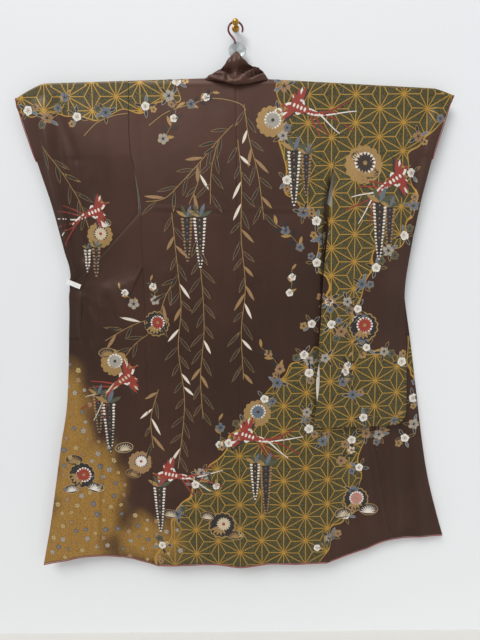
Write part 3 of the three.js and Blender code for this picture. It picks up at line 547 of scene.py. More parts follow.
def bodySheet(name):
    side = sides[name]
    across = np.sort(np.r_[np.linspace(0, 1, back["columns"]), 0.004, 0.01, 0.99])
    rows = np.r_[hemToTip, tipToOkumiTop, okumiTopToShoulder]
    gap = cloth["seam"] / rowWidth(name, rows)
    fronts = frontSheet(name, rows, mix(1 + gap[:, None], 3, across))
    x = side["sign"] * mix(side["neck"], side["shoulder"], across)
    arch = np.array([overRod(side, x, a) for a in rollAngles])
    yoke = yokeSheet(name, np.linspace(0, 1, back["yokeRows"] + 1)[1:], across)
    places = np.linspace(0.2, len(backRows[name]) - 1, back["rows"])
    return np.concatenate([fronts, arch[::-1], yoke, backSheet(name, places, across)])


# Collar
# Across the neck it rolls over the rim and is held up in a peak by the hanger.

neckRows = named("seam low high edge", [
    ([-93.4, -26, -162.5], [-79, -25.8, -161], [-64, -25.8, -159], [-50, -25.8, -157]),
    ([-93.4, -34, -159.2], [-80, -34, -156], [-68, -33, -152], [-56, -32, -148]),
    ([-92.6, -40.6, -161], [-84, -43, -156], [-77, -41, -151], [-70, -37, -148]),
    ([-68, -42.6, -164], [-66, -50, -168], [-60, -47, -152], [-54, -40, -138]),
    ([-42, -43.6, -167], [-41, -52, -175], [-37, -48, -148], [-33, -42, -122]),
    ([-20, -44.4, -170.3], [-20, -53, -180], [-17, -46, -142], [-18, -43, -103]),
    ([0, -45, -173.2], [1, -54, -184], [3, -46, -140], [4, -44, -86]),
    ([28, -44.7, -171.2], [28, -54, -182], [25, -50, -142], [15, -44, -101]),
    ([56, -43.8, -168], [55, -53, -177], [50, -52, -147], [36, -42, -119]),
    ([78, -42.6, -166], [77, -50, -169], [74, -48, -150], [64, -39, -131]),
    ([96.4, -40.6, -163.5], [92, -43, -158], [88, -41, -152], [84, -37, -145]),
    ([97.4, -34, -161.6], [88, -34, -157], [76, -33, -152], [62, -32, -148]),
    ([97.4, -26, -166], [82, -25.8, -163], [68, -25.8, -160], [54, -25.8, -158]),
])
neckCreases = [
    (0, -176, 70, -136, 6, 7), (-62, -150, -18, -158, 5, 6), (-18, -158, -8, -176, 4, 5),
    (-25, -112, 12, -104, 5, 7), (-20, -138, 30, -132, -4, 10),
]
neckFine = [
    (-90, -156, -30, -176, 6, 6), (-50, -173, 30, -180, 6, 6), (10, -179, 92, -150, 6, 6),
    (0, -170, 84, -130, 8, 5), (-52, -139, -16, -160, 7, 4.5), (-54, -130, -2, -156, -19, 6.5),
    (-14, -156, 76, -120, -22, 7), (28, -166, 90, -141, -17, 5.5), (-32, -158, -24, -176, -7, 4),
    (-80, -150, -36, -160, -7, 4.5), (-34, -122, 40, -114, 11, 7), (-30, -130, 16, -120, 4, 4),
    (2, -124, 18, -104, 5, 4), (18, -110, 2, -92, 5, 4), (-14, -114, 4, -106, -8, 4.5),
]
seamDrop = {"by": 6, "at": 82, "wide": 22}  # the collar's seam sinks at the neck's two corners
stemRoom = {"y": -37, "swell": 7, "z": -154, "tall": 14, "slope": 1.2}  # it stays before the hook's stem


def neckSheet(places, across):
    keys = ("seam", "low", "high", "edge")
    lines = np.array([centripetal([row[key] for row in neckRows], places) for key in keys])
    points = np.moveaxis(smooth(lines, 3 * across), 0, 1)
    x, y, z = np.moveaxis(points, -1, 0)
    free = np.clip(5 * across - 0.2, 0, 1) * np.clip((-39.5 - y) / 2, 0, 1)
    corner = seamDrop["by"] * hump(np.abs(x), seamDrop["at"], seamDrop["wide"])
    corner = corner * np.clip(1 - 3 * across, 0, 1) * (y < -36)
    y, z = y - 0.35 * corner, z - corner
    out = y - (foldDepth(neckCreases, x, z) + creaseDepth(neckFine, x, z)) * free
    swell = stemRoom["swell"] * hump(z, stemRoom["z"], stemRoom["tall"])
    over = out - stemRoom["y"] + swell - stemRoom["slope"] * np.abs(x)
    return stack(x, out - 2 * np.log1p(np.exp(over / 2)), z)


def collarSheet():
    across = np.linspace(0, 1, 16)
    rows = np.r_[tipToOkumiTop, okumiTopToShoulder]
    runs = {}
    for name in sideNames:
        share = collarShare(name, rows) - cloth["seam"] / rowWidth(name, rows)
        runs[name] = frontSheet(name, rows, share[:, None] * (1 - across))
    neck = neckSheet(np.linspace(0, len(neckRows) - 1, 150), across)
    return np.concatenate([runs["left"], neck, runs["right"][::-1]])


# Where the print changes
# Each ground is a region on the hung garment, in millimetres across and up.

grounds = {
    "stars": [
        [(-690, -150), (-183, -150), (-183, -217), (-269, -240), (-362, -264), (-454, -282), (-546, -264),
         (-690, -258)],
        [(133, -150), (700, -150), (667, -294), (576, -326), (530, -394), (560, -500), (560, -590),
         (510, -667), (440, -700), (392, -830), (360, -915), (290, -950), (276, -765), (250, -715),
         (266, -592), (222, -579), (165, -510), (150, -400), (135, -205)],
        [(230, -880), (346, -830), (374, -905), (380, -960), (408, -1002), (450, -1012), (590, -1053),
         (590, -1300), (230, -1300)],
        [(-301, -1800), (-266, -1674), (-179, -1514), (-77, -1357), (39, -1203), (153, -1086), (249, -1003),
         (348, -1102), (435, -1254), (400, -1443), (330, -1603), (245, -1800)],
        [(555, -880), (640, -880), (640, -1110), (555, -1110)],
    ],
    "gilt": [
        [(-600, -1050), (-535, -1075), (-500, -1169), (-484, -1305), (-416, -1357), (-389, -1479),
         (-426, -1585), (-488, -1800), (-720, -1800), (-625, -1514), (-620, -1305)],
        [(-417, -1620), (-331, -1585), (-214, -1620), (-232, -1700), (-369, -1714)],
    ],
}
# the rest lie on all panels
onlyOn = {("stars", 2): ("rightSleeve",), ("stars", 4): ("rightOkumi", "rightBody")}


def signedDistance(outline, x, z):
    # above 0 inside the outline
    points = np.array(outline, float)
    away = np.full(x.shape, 1e9)
    inside = np.zeros(x.shape, bool)
    for (x0, z0), (x1, z1) in zip(points, np.roll(points, -1, axis=0)):
        _, offX, offZ = offLine(x, z, x0, z0, x1, z1)
        away = np.minimum(away, np.hypot(offX, offZ))
        if z0 != z1:
            inside ^= ((z0 > z) != (z1 > z)) & (x < (x1 - x0) * (z - z0) / (z1 - z0) + x0)
    return np.where(inside, away, -away)


def groundAt(kind, x, z, name=""):
    kept = [outline for i, outline in enumerate(grounds[kind]) if name in onlyOn.get((kind, i), (name,))]
    best = np.max([signedDistance(outline, x, z) for outline in kept], axis=0)
    # an uneven border, like a cloud's
    cloudy = 9 * np.sin(x * 0.055 + 1.3 * np.sin(z * 0.031))
    cloudy = cloudy + 8 * np.sin(z * 0.047 + 1.1 * np.sin(x * 0.039))
    if name == "rightBody":
        # painted shade: the print is left off where the side falls back beside the sleeve, so the plain dark
        # brown there stands in for the deep shadow of the gap
        rows = backRows["right"]
        edge = np.interp(-z, [-row["z"] for row in rows], [row["outer"] for row in rows])
        beside = (z < gutter["from"] - 30) & (z > gutter["to"] + 30)
        best = np.where(beside & (x > edge - gutter["wide"] + 3), -60, best)
    return best + cloudy


# Material helpers


def put(tree, value, socket):
    # a value or another node's output into a socket
    if isinstance(value, bpy.types.NodeSocket):
        tree.links.new(value, socket)
    else:
        socket.default_value = value


def calc(tree, operation, *values):
    node = tree.nodes.new("ShaderNodeMath")
    node.operation = operation
    for value, socket in zip(values, node.inputs):
        put(tree, value, socket)
    return node.outputs[0]


def times(tree, a, b):
    return calc(tree, "MULTIPLY", a, b)


def plus(tree, a, b):
    return calc(tree, "ADD", a, b)


def minus(tree, a, b):
    return calc(tree, "SUBTRACT", a, b)


def ramp(tree, value, low, high, toLow=0.0, toHigh=1.0):
    node = tree.nodes.new("ShaderNodeMapRange")
    node.interpolation_type = "SMOOTHSTEP"
    for socket, number in zip(node.inputs, (value, low, high, toLow, toHigh)):
        put(tree, number, socket)
    return node.outputs[0]


def blend(tree, amount, below, above, way="MIX"):
    node = tree.nodes.new("ShaderNodeMix")
    node.data_type = "RGBA"
    node.blend_type = way
    put(tree, amount, node.inputs[0])
    put(tree, below, node.inputs[6])
    put(tree, above, node.inputs[7])
    return node.outputs[2]


def noise(tree, vector, scale, detail=3.0, roughness=0.55):
    node = tree.nodes.new("ShaderNodeTexNoise")
    put(tree, vector, node.inputs["Vector"])
    setAll(node.inputs, {"Scale": scale, "Detail": detail, "Roughness": roughness})
    return node.outputs["Fac"]


def setAll(sockets, values):
    for key, value in values.items():
        sockets[key].default_value = value


def linear(code):
    # a colour written as a web code, in the shader's own linear numbers
    parts = [int(code[i : i + 2], 16) / 255 for i in (1, 3, 5)]
    return tuple(p / 12.92 if p <= 0.04045 else ((p + 0.055) / 1.055) ** 2.4 for p in parts) + (1.0,)


def newGroup(name, inputs, outputs):
    tree = bpy.data.node_groups.new(name, "ShaderNodeTree")
    for label, value in inputs.items():
        kind = "NodeSocketVector" if value is None else "NodeSocketFloat"
        socket = tree.interface.new_socket(name=label, in_out="INPUT", socket_type=kind)
        if value is not None:
            socket.default_value = value
    for label in outputs:
        tree.interface.new_socket(name=label, in_out="OUTPUT", socket_type="NodeSocketFloat")
    return tree, tree.nodes.new("NodeGroupInput").outputs, tree.nodes.new("NodeGroupOutput").inputs


def useGroup(tree, group, **values):
    node = tree.nodes.new("ShaderNodeGroup")
    node.node_tree = group
    for key, value in values.items():
        put(tree, value, node.inputs[key])
    return node.outputs


starSizes = {"side": 0.085, "line": 0.0014}


def makeStarAxis():
    # one of the lattice's three directions: distance to its edges and the rays between them
    inputs = {"Across": 0.0, "Along": 0.0, "Side": starSizes["side"]}
    tree, given, out = newGroup("starAxis", inputs, ["Distance"])
    height = times(tree, given["Side"], math.sqrt(3) / 2)
    half = times(tree, given["Side"], 0.5)
    cells = calc(tree, "DIVIDE", given["Across"], height)
    toEdge = calc(tree, "ABSOLUTE", minus(tree, cells, calc(tree, "ROUND", cells)))
    edge = times(tree, toEdge, height)
    lanes = calc(tree, "DIVIDE", given["Along"], half)
    lane = calc(tree, "ROUND", lanes)
    ray = times(tree, calc(tree, "ABSOLUTE", minus(tree, lanes, lane)), half)
    shifted = plus(tree, minus(tree, cells, lane), 1.0)
    wrapped = minus(tree, calc(tree, "FLOORED_MODULO", shifted, 2.0), 1.0)
    beyond = calc(tree, "GREATER_THAN", calc(tree, "ABSOLUTE", wrapped), 2 / 3)
    put(tree, calc(tree, "MINIMUM", edge, plus(tree, ray, beyond)), out["Distance"])
    return tree


def makeStarLines(starAxis):
    # hexagonal star lattice with twelve rays to a star, one of its axes upright
    inputs = {"Across": 0.0, "Up": 0.0, "Side": starSizes["side"], "Line": starSizes["line"]}
    tree, given, out = newGroup("starLines", inputs, ["Mask"])
    nearest = None
    for turn in (0, 60, 120):
        c, s = math.cos(math.radians(turn)), math.sin(math.radians(turn))
        x = plus(tree, times(tree, given["Across"], c), times(tree, given["Up"], s))
        y = plus(tree, times(tree, given["Across"], -s), times(tree, given["Up"], c))
        distance = useGroup(tree, starAxis, Across=x, Along=y, Side=given["Side"])["Distance"]
        nearest = distance if nearest is None else calc(tree, "MINIMUM", nearest, distance)
    edges = (times(tree, given["Line"], share) for share in (0.75, 1.25))
    put(tree, minus(tree, 1.0, ramp(tree, nearest, *edges)), out["Mask"])
    return tree


silkGrain = {"fine": 1500.0, "crinkle": 420.0, "tone": 7.0, "speck": 620.0}  # sizes of noise, to the metre


def makeCrepe():
    # fine crinkled silk: a height for bump, a tone that varies slowly and a speck
    tree, given, out = newGroup("crepe", {"Place": None, "Grain": 1.0}, ["Height", "Tone", "Speck"])
    place = given["Place"]
    fine = noise(tree, place, silkGrain["fine"], 2.0, 0.6)
    crinkle = noise(tree, place, silkGrain["crinkle"], 2.0, 0.5)
    put(tree, times(tree, plus(tree, fine, crinkle), given["Grain"]), out["Height"])
    put(tree, noise(tree, place, silkGrain["tone"], 4.0, 0.6), out["Tone"])
    put(tree, noise(tree, place, silkGrain["speck"], 1.0, 0.5), out["Speck"])
    return tree


starLines = makeStarLines(makeStarAxis())
crepe = makeCrepe()


def newMaterial(name):
    material = bpy.data.materials.new(name)
    material.use_nodes = True
    tree = material.node_tree
    return material, tree, tree.nodes["Principled BSDF"].inputs


bumpDepth = {"silk": 0.00012, "lining": 0.0002, "ink": 0.0003, "metal": 0.00008}


def bump(tree, shader, height, distance, strength=0.5):
    node = tree.nodes.new("ShaderNodeBump")
    setAll(node.inputs, {"Strength": strength, "Distance": distance})
    put(tree, height, node.inputs["Height"])
    put(tree, node.outputs["Normal"], shader["Normal"])


def attribute(tree, name, output="Fac"):
    node = tree.nodes.new("ShaderNodeAttribute")
    node.attribute_name = name
    return node.outputs[output]


def objectPlace(tree):
    return tree.nodes.new("ShaderNodeTexCoord").outputs["Object"]


silkColours = {
    "brown": "#2e1a13",
    # the lighter brown: painted light on the upper cloth, and random paler patches
    "brownLitTopAndTone": "#51332a",
    "brownDeep": "#24120c",
    "star": "#262410",
    "starSpeck": "#625e3a",
    "gold": "#b38a3c",
    "goldPale": "#b98f48",
    "gilt": "#936a25",
}


def makeSilk():
    material, tree, shader = newMaterial("printedSilk")
    colour = {key: linear(code) for key, code in silkColours.items()}
    uv = tree.nodes.new("ShaderNodeUVMap")
    uv.uv_map = "cut"
    parts = tree.nodes.new("ShaderNodeSeparateXYZ")
    put(tree, uv.outputs[0], parts.inputs[0])
    across, up = parts.outputs[:2]
    grain = useGroup(tree, crepe, Place=objectPlace(tree), Grain=1.0)
    wide = noise(tree, objectPlace(tree), 2.3, 3.0, 0.5)
    # painted light: the brown turns a little lighter towards the shoulders, standing in for the sheen of the
    # light from above, and random paler patches are added to it
    litTopAndTone = ramp(tree, up, -0.8, -0.15, 0.0, 0.5)
    litTopAndTone = plus(tree, litTopAndTone, ramp(tree, wide, 0.35, 0.65, 0.0, 0.3))
    brown = blend(tree, litTopAndTone, colour["brown"], colour["brownLitTopAndTone"])
    brown = blend(tree, ramp(tree, grain["Tone"], 0.42, 0.7, 0.0, 0.35), brown, colour["brownDeep"])
    brown = blend(tree, ramp(tree, grain["Speck"], 0.5, 0.8, 0.0, 0.05), brown, colour["goldPale"])
    starGround = blend(tree, ramp(tree, grain["Speck"], 0.45, 0.62), colour["star"], colour["starSpeck"])
    starry = ramp(tree, attribute(tree, "stars"), -3.0, 3.0)
    ground = blend(tree, starry, brown, starGround)
    lines = useGroup(tree, starLines, Across=across, Up=up)["Mask"]
    worn = ramp(tree, grain["Speck"], 0.3, 0.5, 0.55, 1.0)
    lineMask = times(tree, times(tree, lines, starry), worn)
    lined = blend(tree, lineMask, ground, colour["gold"])
    giltMask = ramp(tree, attribute(tree, "gilt"), -55.0, 35.0, 0.0, 0.92)
    giltColour = blend(tree, ramp(tree, grain["Speck"], 0.35, 0.6), colour["gilt"], colour["goldPale"])
    dustFrom = minus(tree, 0.62, times(tree, giltMask, 0.34))
    dust = ramp(tree, grain["Speck"], dustFrom, 0.66)
    gilded = times(tree, giltMask, plus(tree, times(tree, dust, 0.45), 0.55))
    final = blend(tree, gilded, lined, giltColour)
    border = ramp(tree, calc(tree, "ABSOLUTE", attribute(tree, "stars")), 1.6, 2.6, 1.0, 0.0)
    final = blend(tree, times(tree, border, worn), final, colour["gold"])
    put(tree, final, shader["Base Color"])
    foil = times(tree, calc(tree, "MAXIMUM", lineMask, gilded), 0.3)
    put(tree, foil, shader["Metallic"])
    put(tree, ramp(tree, foil, 0.0, 0.5, 0.47, 0.46), shader["Roughness"])
    setAll(shader, {"Sheen Weight": 0.08, "Sheen Roughness": 0.45})
    setAll(shader, {"Specular IOR Level": 0.42, "Specular Tint": (1.0, 0.8, 0.7, 1.0)})
    bump(tree, shader, grain["Height"], bumpDepth["silk"])
    return material


def twoTones(tree, shader, amount, base, shade):
    put(tree, blend(tree, amount, linear(base), linear(shade)), shader["Base Color"])


def makePlainSilk(name, base, shade):
    material, tree, shader = newMaterial(name)
    grain = useGroup(tree, crepe, Place=objectPlace(tree), Grain=0.7)
    twoTones(tree, shader, ramp(tree, grain["Tone"], 0.35, 0.65), base, shade)
    setAll(shader, {"Roughness": 0.6, "Sheen Weight": 0.4})
    bump(tree, shader, grain["Height"], bumpDepth["lining"])
    return material


def makePrintInk():
    # dyed and foiled motifs: their colour and foil are kept on their points
    material, tree, shader = newMaterial("printInk")
    grain = useGroup(tree, crepe, Place=objectPlace(tree), Grain=1.0)
    tone = ramp(tree, grain["Speck"], 0.3, 0.7, 0.72, 1.08)
    tint = blend(tree, 1.0, attribute(tree, "tint", "Color"), (1, 1, 1, 1), "MULTIPLY")
    shadeNode = tree.nodes.new("ShaderNodeHueSaturation")
    put(tree, tint, shadeNode.inputs["Color"])
    put(tree, tone, shadeNode.inputs["Value"])
    put(tree, shadeNode.outputs[0], shader["Base Color"])
    put(tree, times(tree, attribute(tree, "foil"), 0.3), shader["Metallic"])
    put(tree, ramp(tree, attribute(tree, "foil"), 0.0, 1.0, 0.62, 0.45), shader["Roughness"])
    shader["Sheen Weight"].default_value = 0.2
    bump(tree, shader, grain["Height"], bumpDepth["ink"], 0.6)
    return material


def makeMetal(name, base, shade, roughness, metallic=1.0, scratch=220.0):
    material, tree, shader = newMaterial(name)
    worn = noise(tree, objectPlace(tree), scratch, 4.0, 0.6)
    twoTones(tree, shader, ramp(tree, worn, 0.4, 0.7), base, shade)
    put(tree, ramp(tree, worn, 0.3, 0.75, roughness * 0.75, roughness * 1.3), shader["Roughness"])
    shader["Metallic"].default_value = metallic
    bump(tree, shader, worn, bumpDepth["metal"])
    return material


def makeClear():
    material, tree, shader = newMaterial("greyClearPlastic")
    worn = noise(tree, objectPlace(tree), 90.0, 3.0, 0.5)
    twoTones(tree, shader, ramp(tree, worn, 0.4, 0.6), "#c4c8c8", "#d8dcdb")
    put(tree, ramp(tree, worn, 0.3, 0.7, 0.12, 0.22), shader["Roughness"])
    setAll(shader, {"Transmission Weight": 0.75, "IOR": 1.46})
    return material


materials = {
    "silk": makeSilk(),
    "white": makePlainSilk("whiteLining", "#e9e3da", "#d8cfc2"),
    "red": makePlainSilk("redLining", "#8e2a20", "#77211a"),
    "ink": makePrintInk(),
    "chrome": makeMetal("chromedTube", "#c9cbcc", "#a8abad", 0.2),
    "brass": makeMetal("polishedBrass", "#c79a45", "#94702c", 0.22),
    "coated": makeMetal("maroonCoat", "#6a1a31", "#521426", 0.3, 0.0),
    "clear": makeClear(),
    "clip": makeMetal("whitePlastic", "#f0efec", "#e2e0dc", 0.42, 0.0, 120.0),
}
print("materials ready")


# Cloth pieces


def shell(name, grid, thickness, facing, wallRows=None, archRows=None, linings=True, plainAbove=0):
    # a thin closed wall about a grid of points: print outside, lining inside
    normal = np.cross(np.gradient(grid, axis=0), np.gradient(grid, axis=1))
    normal /= np.maximum(np.linalg.norm(normal, axis=2, keepdims=True), 1e-9)
    normal *= -np.sign(normal[facing][1])  # at this point of the grid its outside looks into the room
    turned = np.cross(grid[1, 0] - grid[0, 0], grid[0, 1] - grid[0, 0]) @ normal[0, 0] < 0
    count, across = grid.shape[:2]
    total = count * across
    outer, inner = grid + normal * thickness / 2, grid - normal * thickness / 2
    index = np.arange(total).reshape(count, across)
    quads = np.stack([index[:-1, :-1], index[1:, :-1], index[1:, 1:], index[:-1, 1:]], -1).reshape(-1, 4)
    rims = []
    for edge, flip in ((index[:, 0], True), (index[:, -1], False), (index[0], False), (index[-1], True)):
        a, b = edge[:-1], edge[1:]
        rim = np.stack([a, b, b + total, a + total], -1)
        rims.append(np.roll(rim[:, ::-1], 1, axis=1) if flip else rim)
    faces = np.concatenate([quads, quads[:, ::-1] + total, *rims])
    if turned:
        faces = faces[:, ::-1]
    points = np.concatenate([outer.reshape(-1, 3), inner.reshape(-1, 3)])
    mesh = bpy.data.meshes.new(name)
    mesh.from_pydata((points * mm).tolist(), [], faces.tolist())

    # the cut lies flat on, so that the pattern runs on over the shoulder
    up = grid[..., 2].copy()
    if wallRows is not None:
        up[wallRows] = 2 * axisTop + overShoulder - up[wallRows]
        share = np.linspace(0, 1, archRows.stop - archRows.start)[:, None]
        up[archRows] = mix(up[archRows.start - 1], up[archRows.stop], share)
    cut = np.tile(np.stack([grid[..., 0], up], -1).reshape(-1, 2), (2, 1)) * mm
    corners = np.empty(len(mesh.loops), int)
    mesh.loops.foreach_get("vertex_index", corners)
    mesh.uv_layers.new(name="cut").data.foreach_set("uv", cut[corners].ravel())
    for kind in grounds:
        values = np.tile(groundAt(kind, grid[..., 0], grid[..., 2], name).ravel(), 2)
        mesh.attributes.new(kind, "FLOAT", "POINT").data.foreach_set("value", values)

    for key in ("silk", "white", "red"):
        mesh.materials.append(materials[key])
    slots = np.zeros(len(faces), int)
    if linings:
        inside = slice(len(quads), 2 * len(quads))
        middle = points[faces[inside]].mean(axis=1)[:, 2]
        slots[inside] = np.where(middle < plainAbove, np.where(middle < lining["redBelow"], 2, 1), 0)
    mesh.polygons.foreach_set("material_index", slots)
    mesh.polygons.foreach_set("use_smooth", np.ones(len(faces), bool))
    mesh.update()
    clothPoints[name] = (points, faces)
    return linkObject(bpy.data.objects.new(name, mesh))


lining = {"redBelow": -1180, "okumiBelow": -1000}
overShoulder = 23  # the cloth's way over the rod, from one layer to the other
clothPoints = {}


def makeSleeve(name):
    grid = sleeveGrid(name)
    archStart = (len(grid) - len(rollAngles)) // 2
    arch = slice(archStart, archStart + len(rollAngles))
    return shell(name + "Sleeve", grid, cloth["thickness"], (60, 20), slice(arch.stop, None), arch)


def makeBody(name):
    grid = bodySheet(name)
    archStop = len(grid) - back["rows"] - back["yokeRows"]
    arch = slice(archStop - len(rollAngles), archStop)
    behind = slice(2 * len(hemToTip), arch.start)
    return shell(name + "Body", grid, cloth["thickness"], (len(grid) - 80, 20), behind, arch)


def makeOkumi(name):
    grid = okumiSheet(name)
    return shell(name + "Okumi", grid, cloth["thickness"], (50, 12), plainAbove=lining["okumiBelow"])


def makeCollar():
    grid = collarSheet()
    return shell("collarBand", grid, cloth["collarThickness"], (len(grid) // 2, 5), linings=False)


pieces = {}
for name in sideNames:
    pieces[name + "Sleeve"] = makeSleeve(name)
    pieces[name + "Body"] = makeBody(name)
    pieces[name + "Okumi"] = makeOkumi(name)
pieces["collar"] = makeCollar()
print("cloth made")
for name, obj in pieces.items():
    area = sum(p.area for p in obj.data.polygons) / 2
    print(name, "tris", sum(len(p.vertices) - 2 for p in obj.data.polygons), "area m2", round(area, 3))


# Printed motifs
# Each motif is a list of patches: a closed outline about its own middle, a level above
# the cloth and a colour. A colour has its web code and 1 if it is foil.

ink = {
    "gold": ("#a98650", 1), "pale": ("#c2a870", 1), "black": ("#1b1512", 0), "white": ("#e4dccf", 0),
    "cream": ("#cdbb9d", 0), "red": ("#96301f", 0), "rose": ("#b98076", 0), "slate": ("#616a75", 0),
    "tan": ("#9a7750", 0), "moss": ("#4d4f37", 0), "umber": ("#35241c", 0), "grey": ("#a39c90", 0),
}
printSizes = {
    "base": 0.35, "level": 0.11,  # the lowest patch's height over the cloth and the step to the next level
    "step": 9.0, "tear": 9.0,  # widest ring of a patch, and the most that a cell may run in depth
    "from": -400.0,  # rays start here, out in the room
    "apart": 22, "facing": -0.2,  # a patch keeps to cloth near its middle that faces the room
}


def turned(px, py, x, y, turn):
    c, s = math.cos(turn), math.sin(turn)
    return np.stack([x + px * c - py * s, y + px * s + py * c], 1)


def ellipse(x, y, rx, ry, turn=0.0, count=12):
    a = np.linspace(0, 2 * np.pi, count, endpoint=False)
    return turned(rx * np.cos(a), ry * np.sin(a), x, y, turn)


def scallop(radius, lobes, depth=0.1):
    a = np.linspace(0, 2 * np.pi, lobes * 5, endpoint=False)
    r = radius * (1 - depth * (1 - np.abs(np.sin(lobes * a / 2))))
    return np.stack([r * np.cos(a), r * np.sin(a)], 1)


def leafShape(x, y, length, width, turn):
    t = np.linspace(0, 1, 7)
    half = width / 2 * np.sin(np.pi * t) ** 0.8
    return turned(length * np.r_[t, t[-2:0:-1]], np.r_[half, -half[-2:0:-1]], x, y, turn)


def rayLeaf(reach, length, width, a):
    # a leaf that points away from the middle, from this far out
    return leafShape(reach * math.cos(a), reach * math.sin(a), length, width, a)


def ribbon(line, width):
    # a narrow band along a line: pairs of points, kept as a strip
    line = np.asarray(line, float)
    way = np.gradient(line, axis=0)
    side = np.stack([-way[:, 1], way[:, 0]], 1) / np.maximum(np.linalg.norm(way, axis=1), 1e-9)[:, None]
    width = np.broadcast_to(width, len(line))[:, None] / 2
    return ("strip", line + side * width, line - side * width)


def blossom(radius, petal, edge, heart):
    patches = []
    for k in range(5):
        a = 2 * math.pi * k / 5 + 0.3
        x, y, wide = 0.56 * radius * math.cos(a), 0.56 * radius * math.sin(a), 0.36 * radius
        patches.append((ellipse(x, y, 0.47 * radius, wide + 0.07 * radius, a), 0, edge))
        patches.append((ellipse(x, y, 0.40 * radius, wide, a), 1, petal))
    patches.append((ellipse(0, 0, 0.24 * radius, 0.24 * radius, 0, 8), 2, heart))
    for k in range(5):
        a = 2 * math.pi * (k + 0.5) / 5 + 0.3
        patches.append((rayLeaf(0.2 * radius, 0.34 * radius, 0.09 * radius, a), 3, heart))
    return patches


def chrysanthemum(radius, petal, edge, heart):
    patches = [(scallop(radius, 16, 0.12), 0, edge)]
    root = 0.16 * radius
    for ring, (reach, wide, count, level) in enumerate([(0.94, 0.17, 16, 1), (0.66, 0.15, 12, 2)]):
        for k in range(count):
            a = 2 * math.pi * (k + 0.5 * ring) / count
            patches.append((rayLeaf(root, reach * radius - root, wide * 1.7 * radius, a), level, petal))
    patches.append((ellipse(0, 0, 0.2 * radius, 0.2 * radius), 3, heart))
    return patches


def roundel(radius, rim, ground, petal, edge, heart):
    # a scalloped disc with one flower in it and leaves beside it
    patches = [(scallop(radius, 14), 0, rim), (scallop(radius * 0.91, 14), 1, ground)]
    for outline, level, colour in chrysanthemum(radius * 0.56, petal, edge, heart):
        patches.append((outline + [0.1 * radius, 0.08 * radius], level + 2, colour))
    for k in range(5):
        a = math.radians(200 + 26 * k)
        patches.append((leafShape(-0.15 * radius, -0.1 * radius, 0.72 * radius, 0.2 * radius, a), 2, "gold"))
    return patches


def pine(radius, needle, edge):
    patches = [(ellipse(0, 0.1 * radius, radius, 0.62 * radius, 0, 18), 0, edge)]
    patches.append((ellipse(0, 0.1 * radius, 0.93 * radius, 0.56 * radius, 0, 18), 1, "umber"))
    for k in range(11):
        a = math.radians(8 + 16.4 * k)
        patches.append((leafShape(0, -0.28 * radius, 0.88 * radius, 0.1 * radius, a), 2, needle))
    return patches


def bird(size, body, trim):
    # a flying bird with a fan of narrow wing feathers and trailing tail ribbons
    t = np.linspace(0, 1, 14)
    patches = []
    for k in range(7):
        drop, reach = -0.95 + 0.3 * k, (1.5, 1.9, 1.3, 2.1, 1.6, 1.2, 0.9)[k]
        wave = drop * t**1.5 + 0.1 * np.sin(4 * t + k)
        line = np.stack([-0.35 * size - reach * size * t, size * wave], 1)
        width = (0.085 - 0.05 * t) * size
        patches.append((ribbon(line, width + 1.6), 0, "umber"))
        patches.append((ribbon(line, width), 1, trim if k % 3 == 1 else body))
    for wing, lift in ((1, 1.2), (-1, 1.75)):
        for k in range(8):
            a = wing * (lift - 0.17 * k)
            reach = (0.95 - 0.07 * k) * size
            colour = ("umber", body, trim, body)[k % 4]
            patches.append((leafShape(0.08 * size, 0, reach, 0.17 * size, a), 2 + k % 2, colour))
        bend = wing * (0.13 + 0.16 * np.sin(2.4 * t))
        root = np.stack([0.2 * size * t - 0.12 * size, size * bend], 1)
        patches.append((ribbon(root, 0.09 * size), 4, "white"))
    patches.append((leafShape(-0.5 * size, 0, 1.05 * size, 0.4 * size, 0.05), 5, body))
    for k in range(4):
        x = (-0.22 + 0.16 * k) * size
        patches.append((ellipse(x, 0.01 * size, 0.05 * size, 0.09 * size, 0, 8), 6, trim))
    neck = np.stack([(0.4 + 0.22 * t) * size, size * 0.16 * t**1.5], 1)
    patches.append((ribbon(neck, 0.1 * size), 6, "white"))
    patches.append((ellipse(0.66 * size, 0.18 * size, 0.09 * size, 0.075 * size), 7, body))
    patches.append((leafShape(0.72 * size, 0.18 * size, 0.17 * size, 0.05 * size, -0.15), 7, "gold"))
    for a in (2.0, 2.4, 2.8):
        patches.append((leafShape(0.62 * size, 0.22 * size, 0.2 * size, 0.04 * size, a), 7, "gold"))
    return patches


spray = {"leaves": 7, "curve": 0.35}


def sprig(length, leaf, stem):
    t = np.linspace(0, 1, 12)
    line = np.stack([length * t, spray["curve"] * length * t**2], 1)
    patches = [(ribbon(line, 1.3), 0, stem)]
    for k in range(spray["leaves"]):
        i = 2 + int(k * 9 / (spray["leaves"] - 1))
        turn = math.atan2(2 * spray["curve"] * t[i], 1) + (0.8 if k % 2 else -0.8)
        patches.append((leafShape(*line[i], 0.3 * length, 0.1 * length, turn), 1, leaf if k % 3 else stem))
    return patches


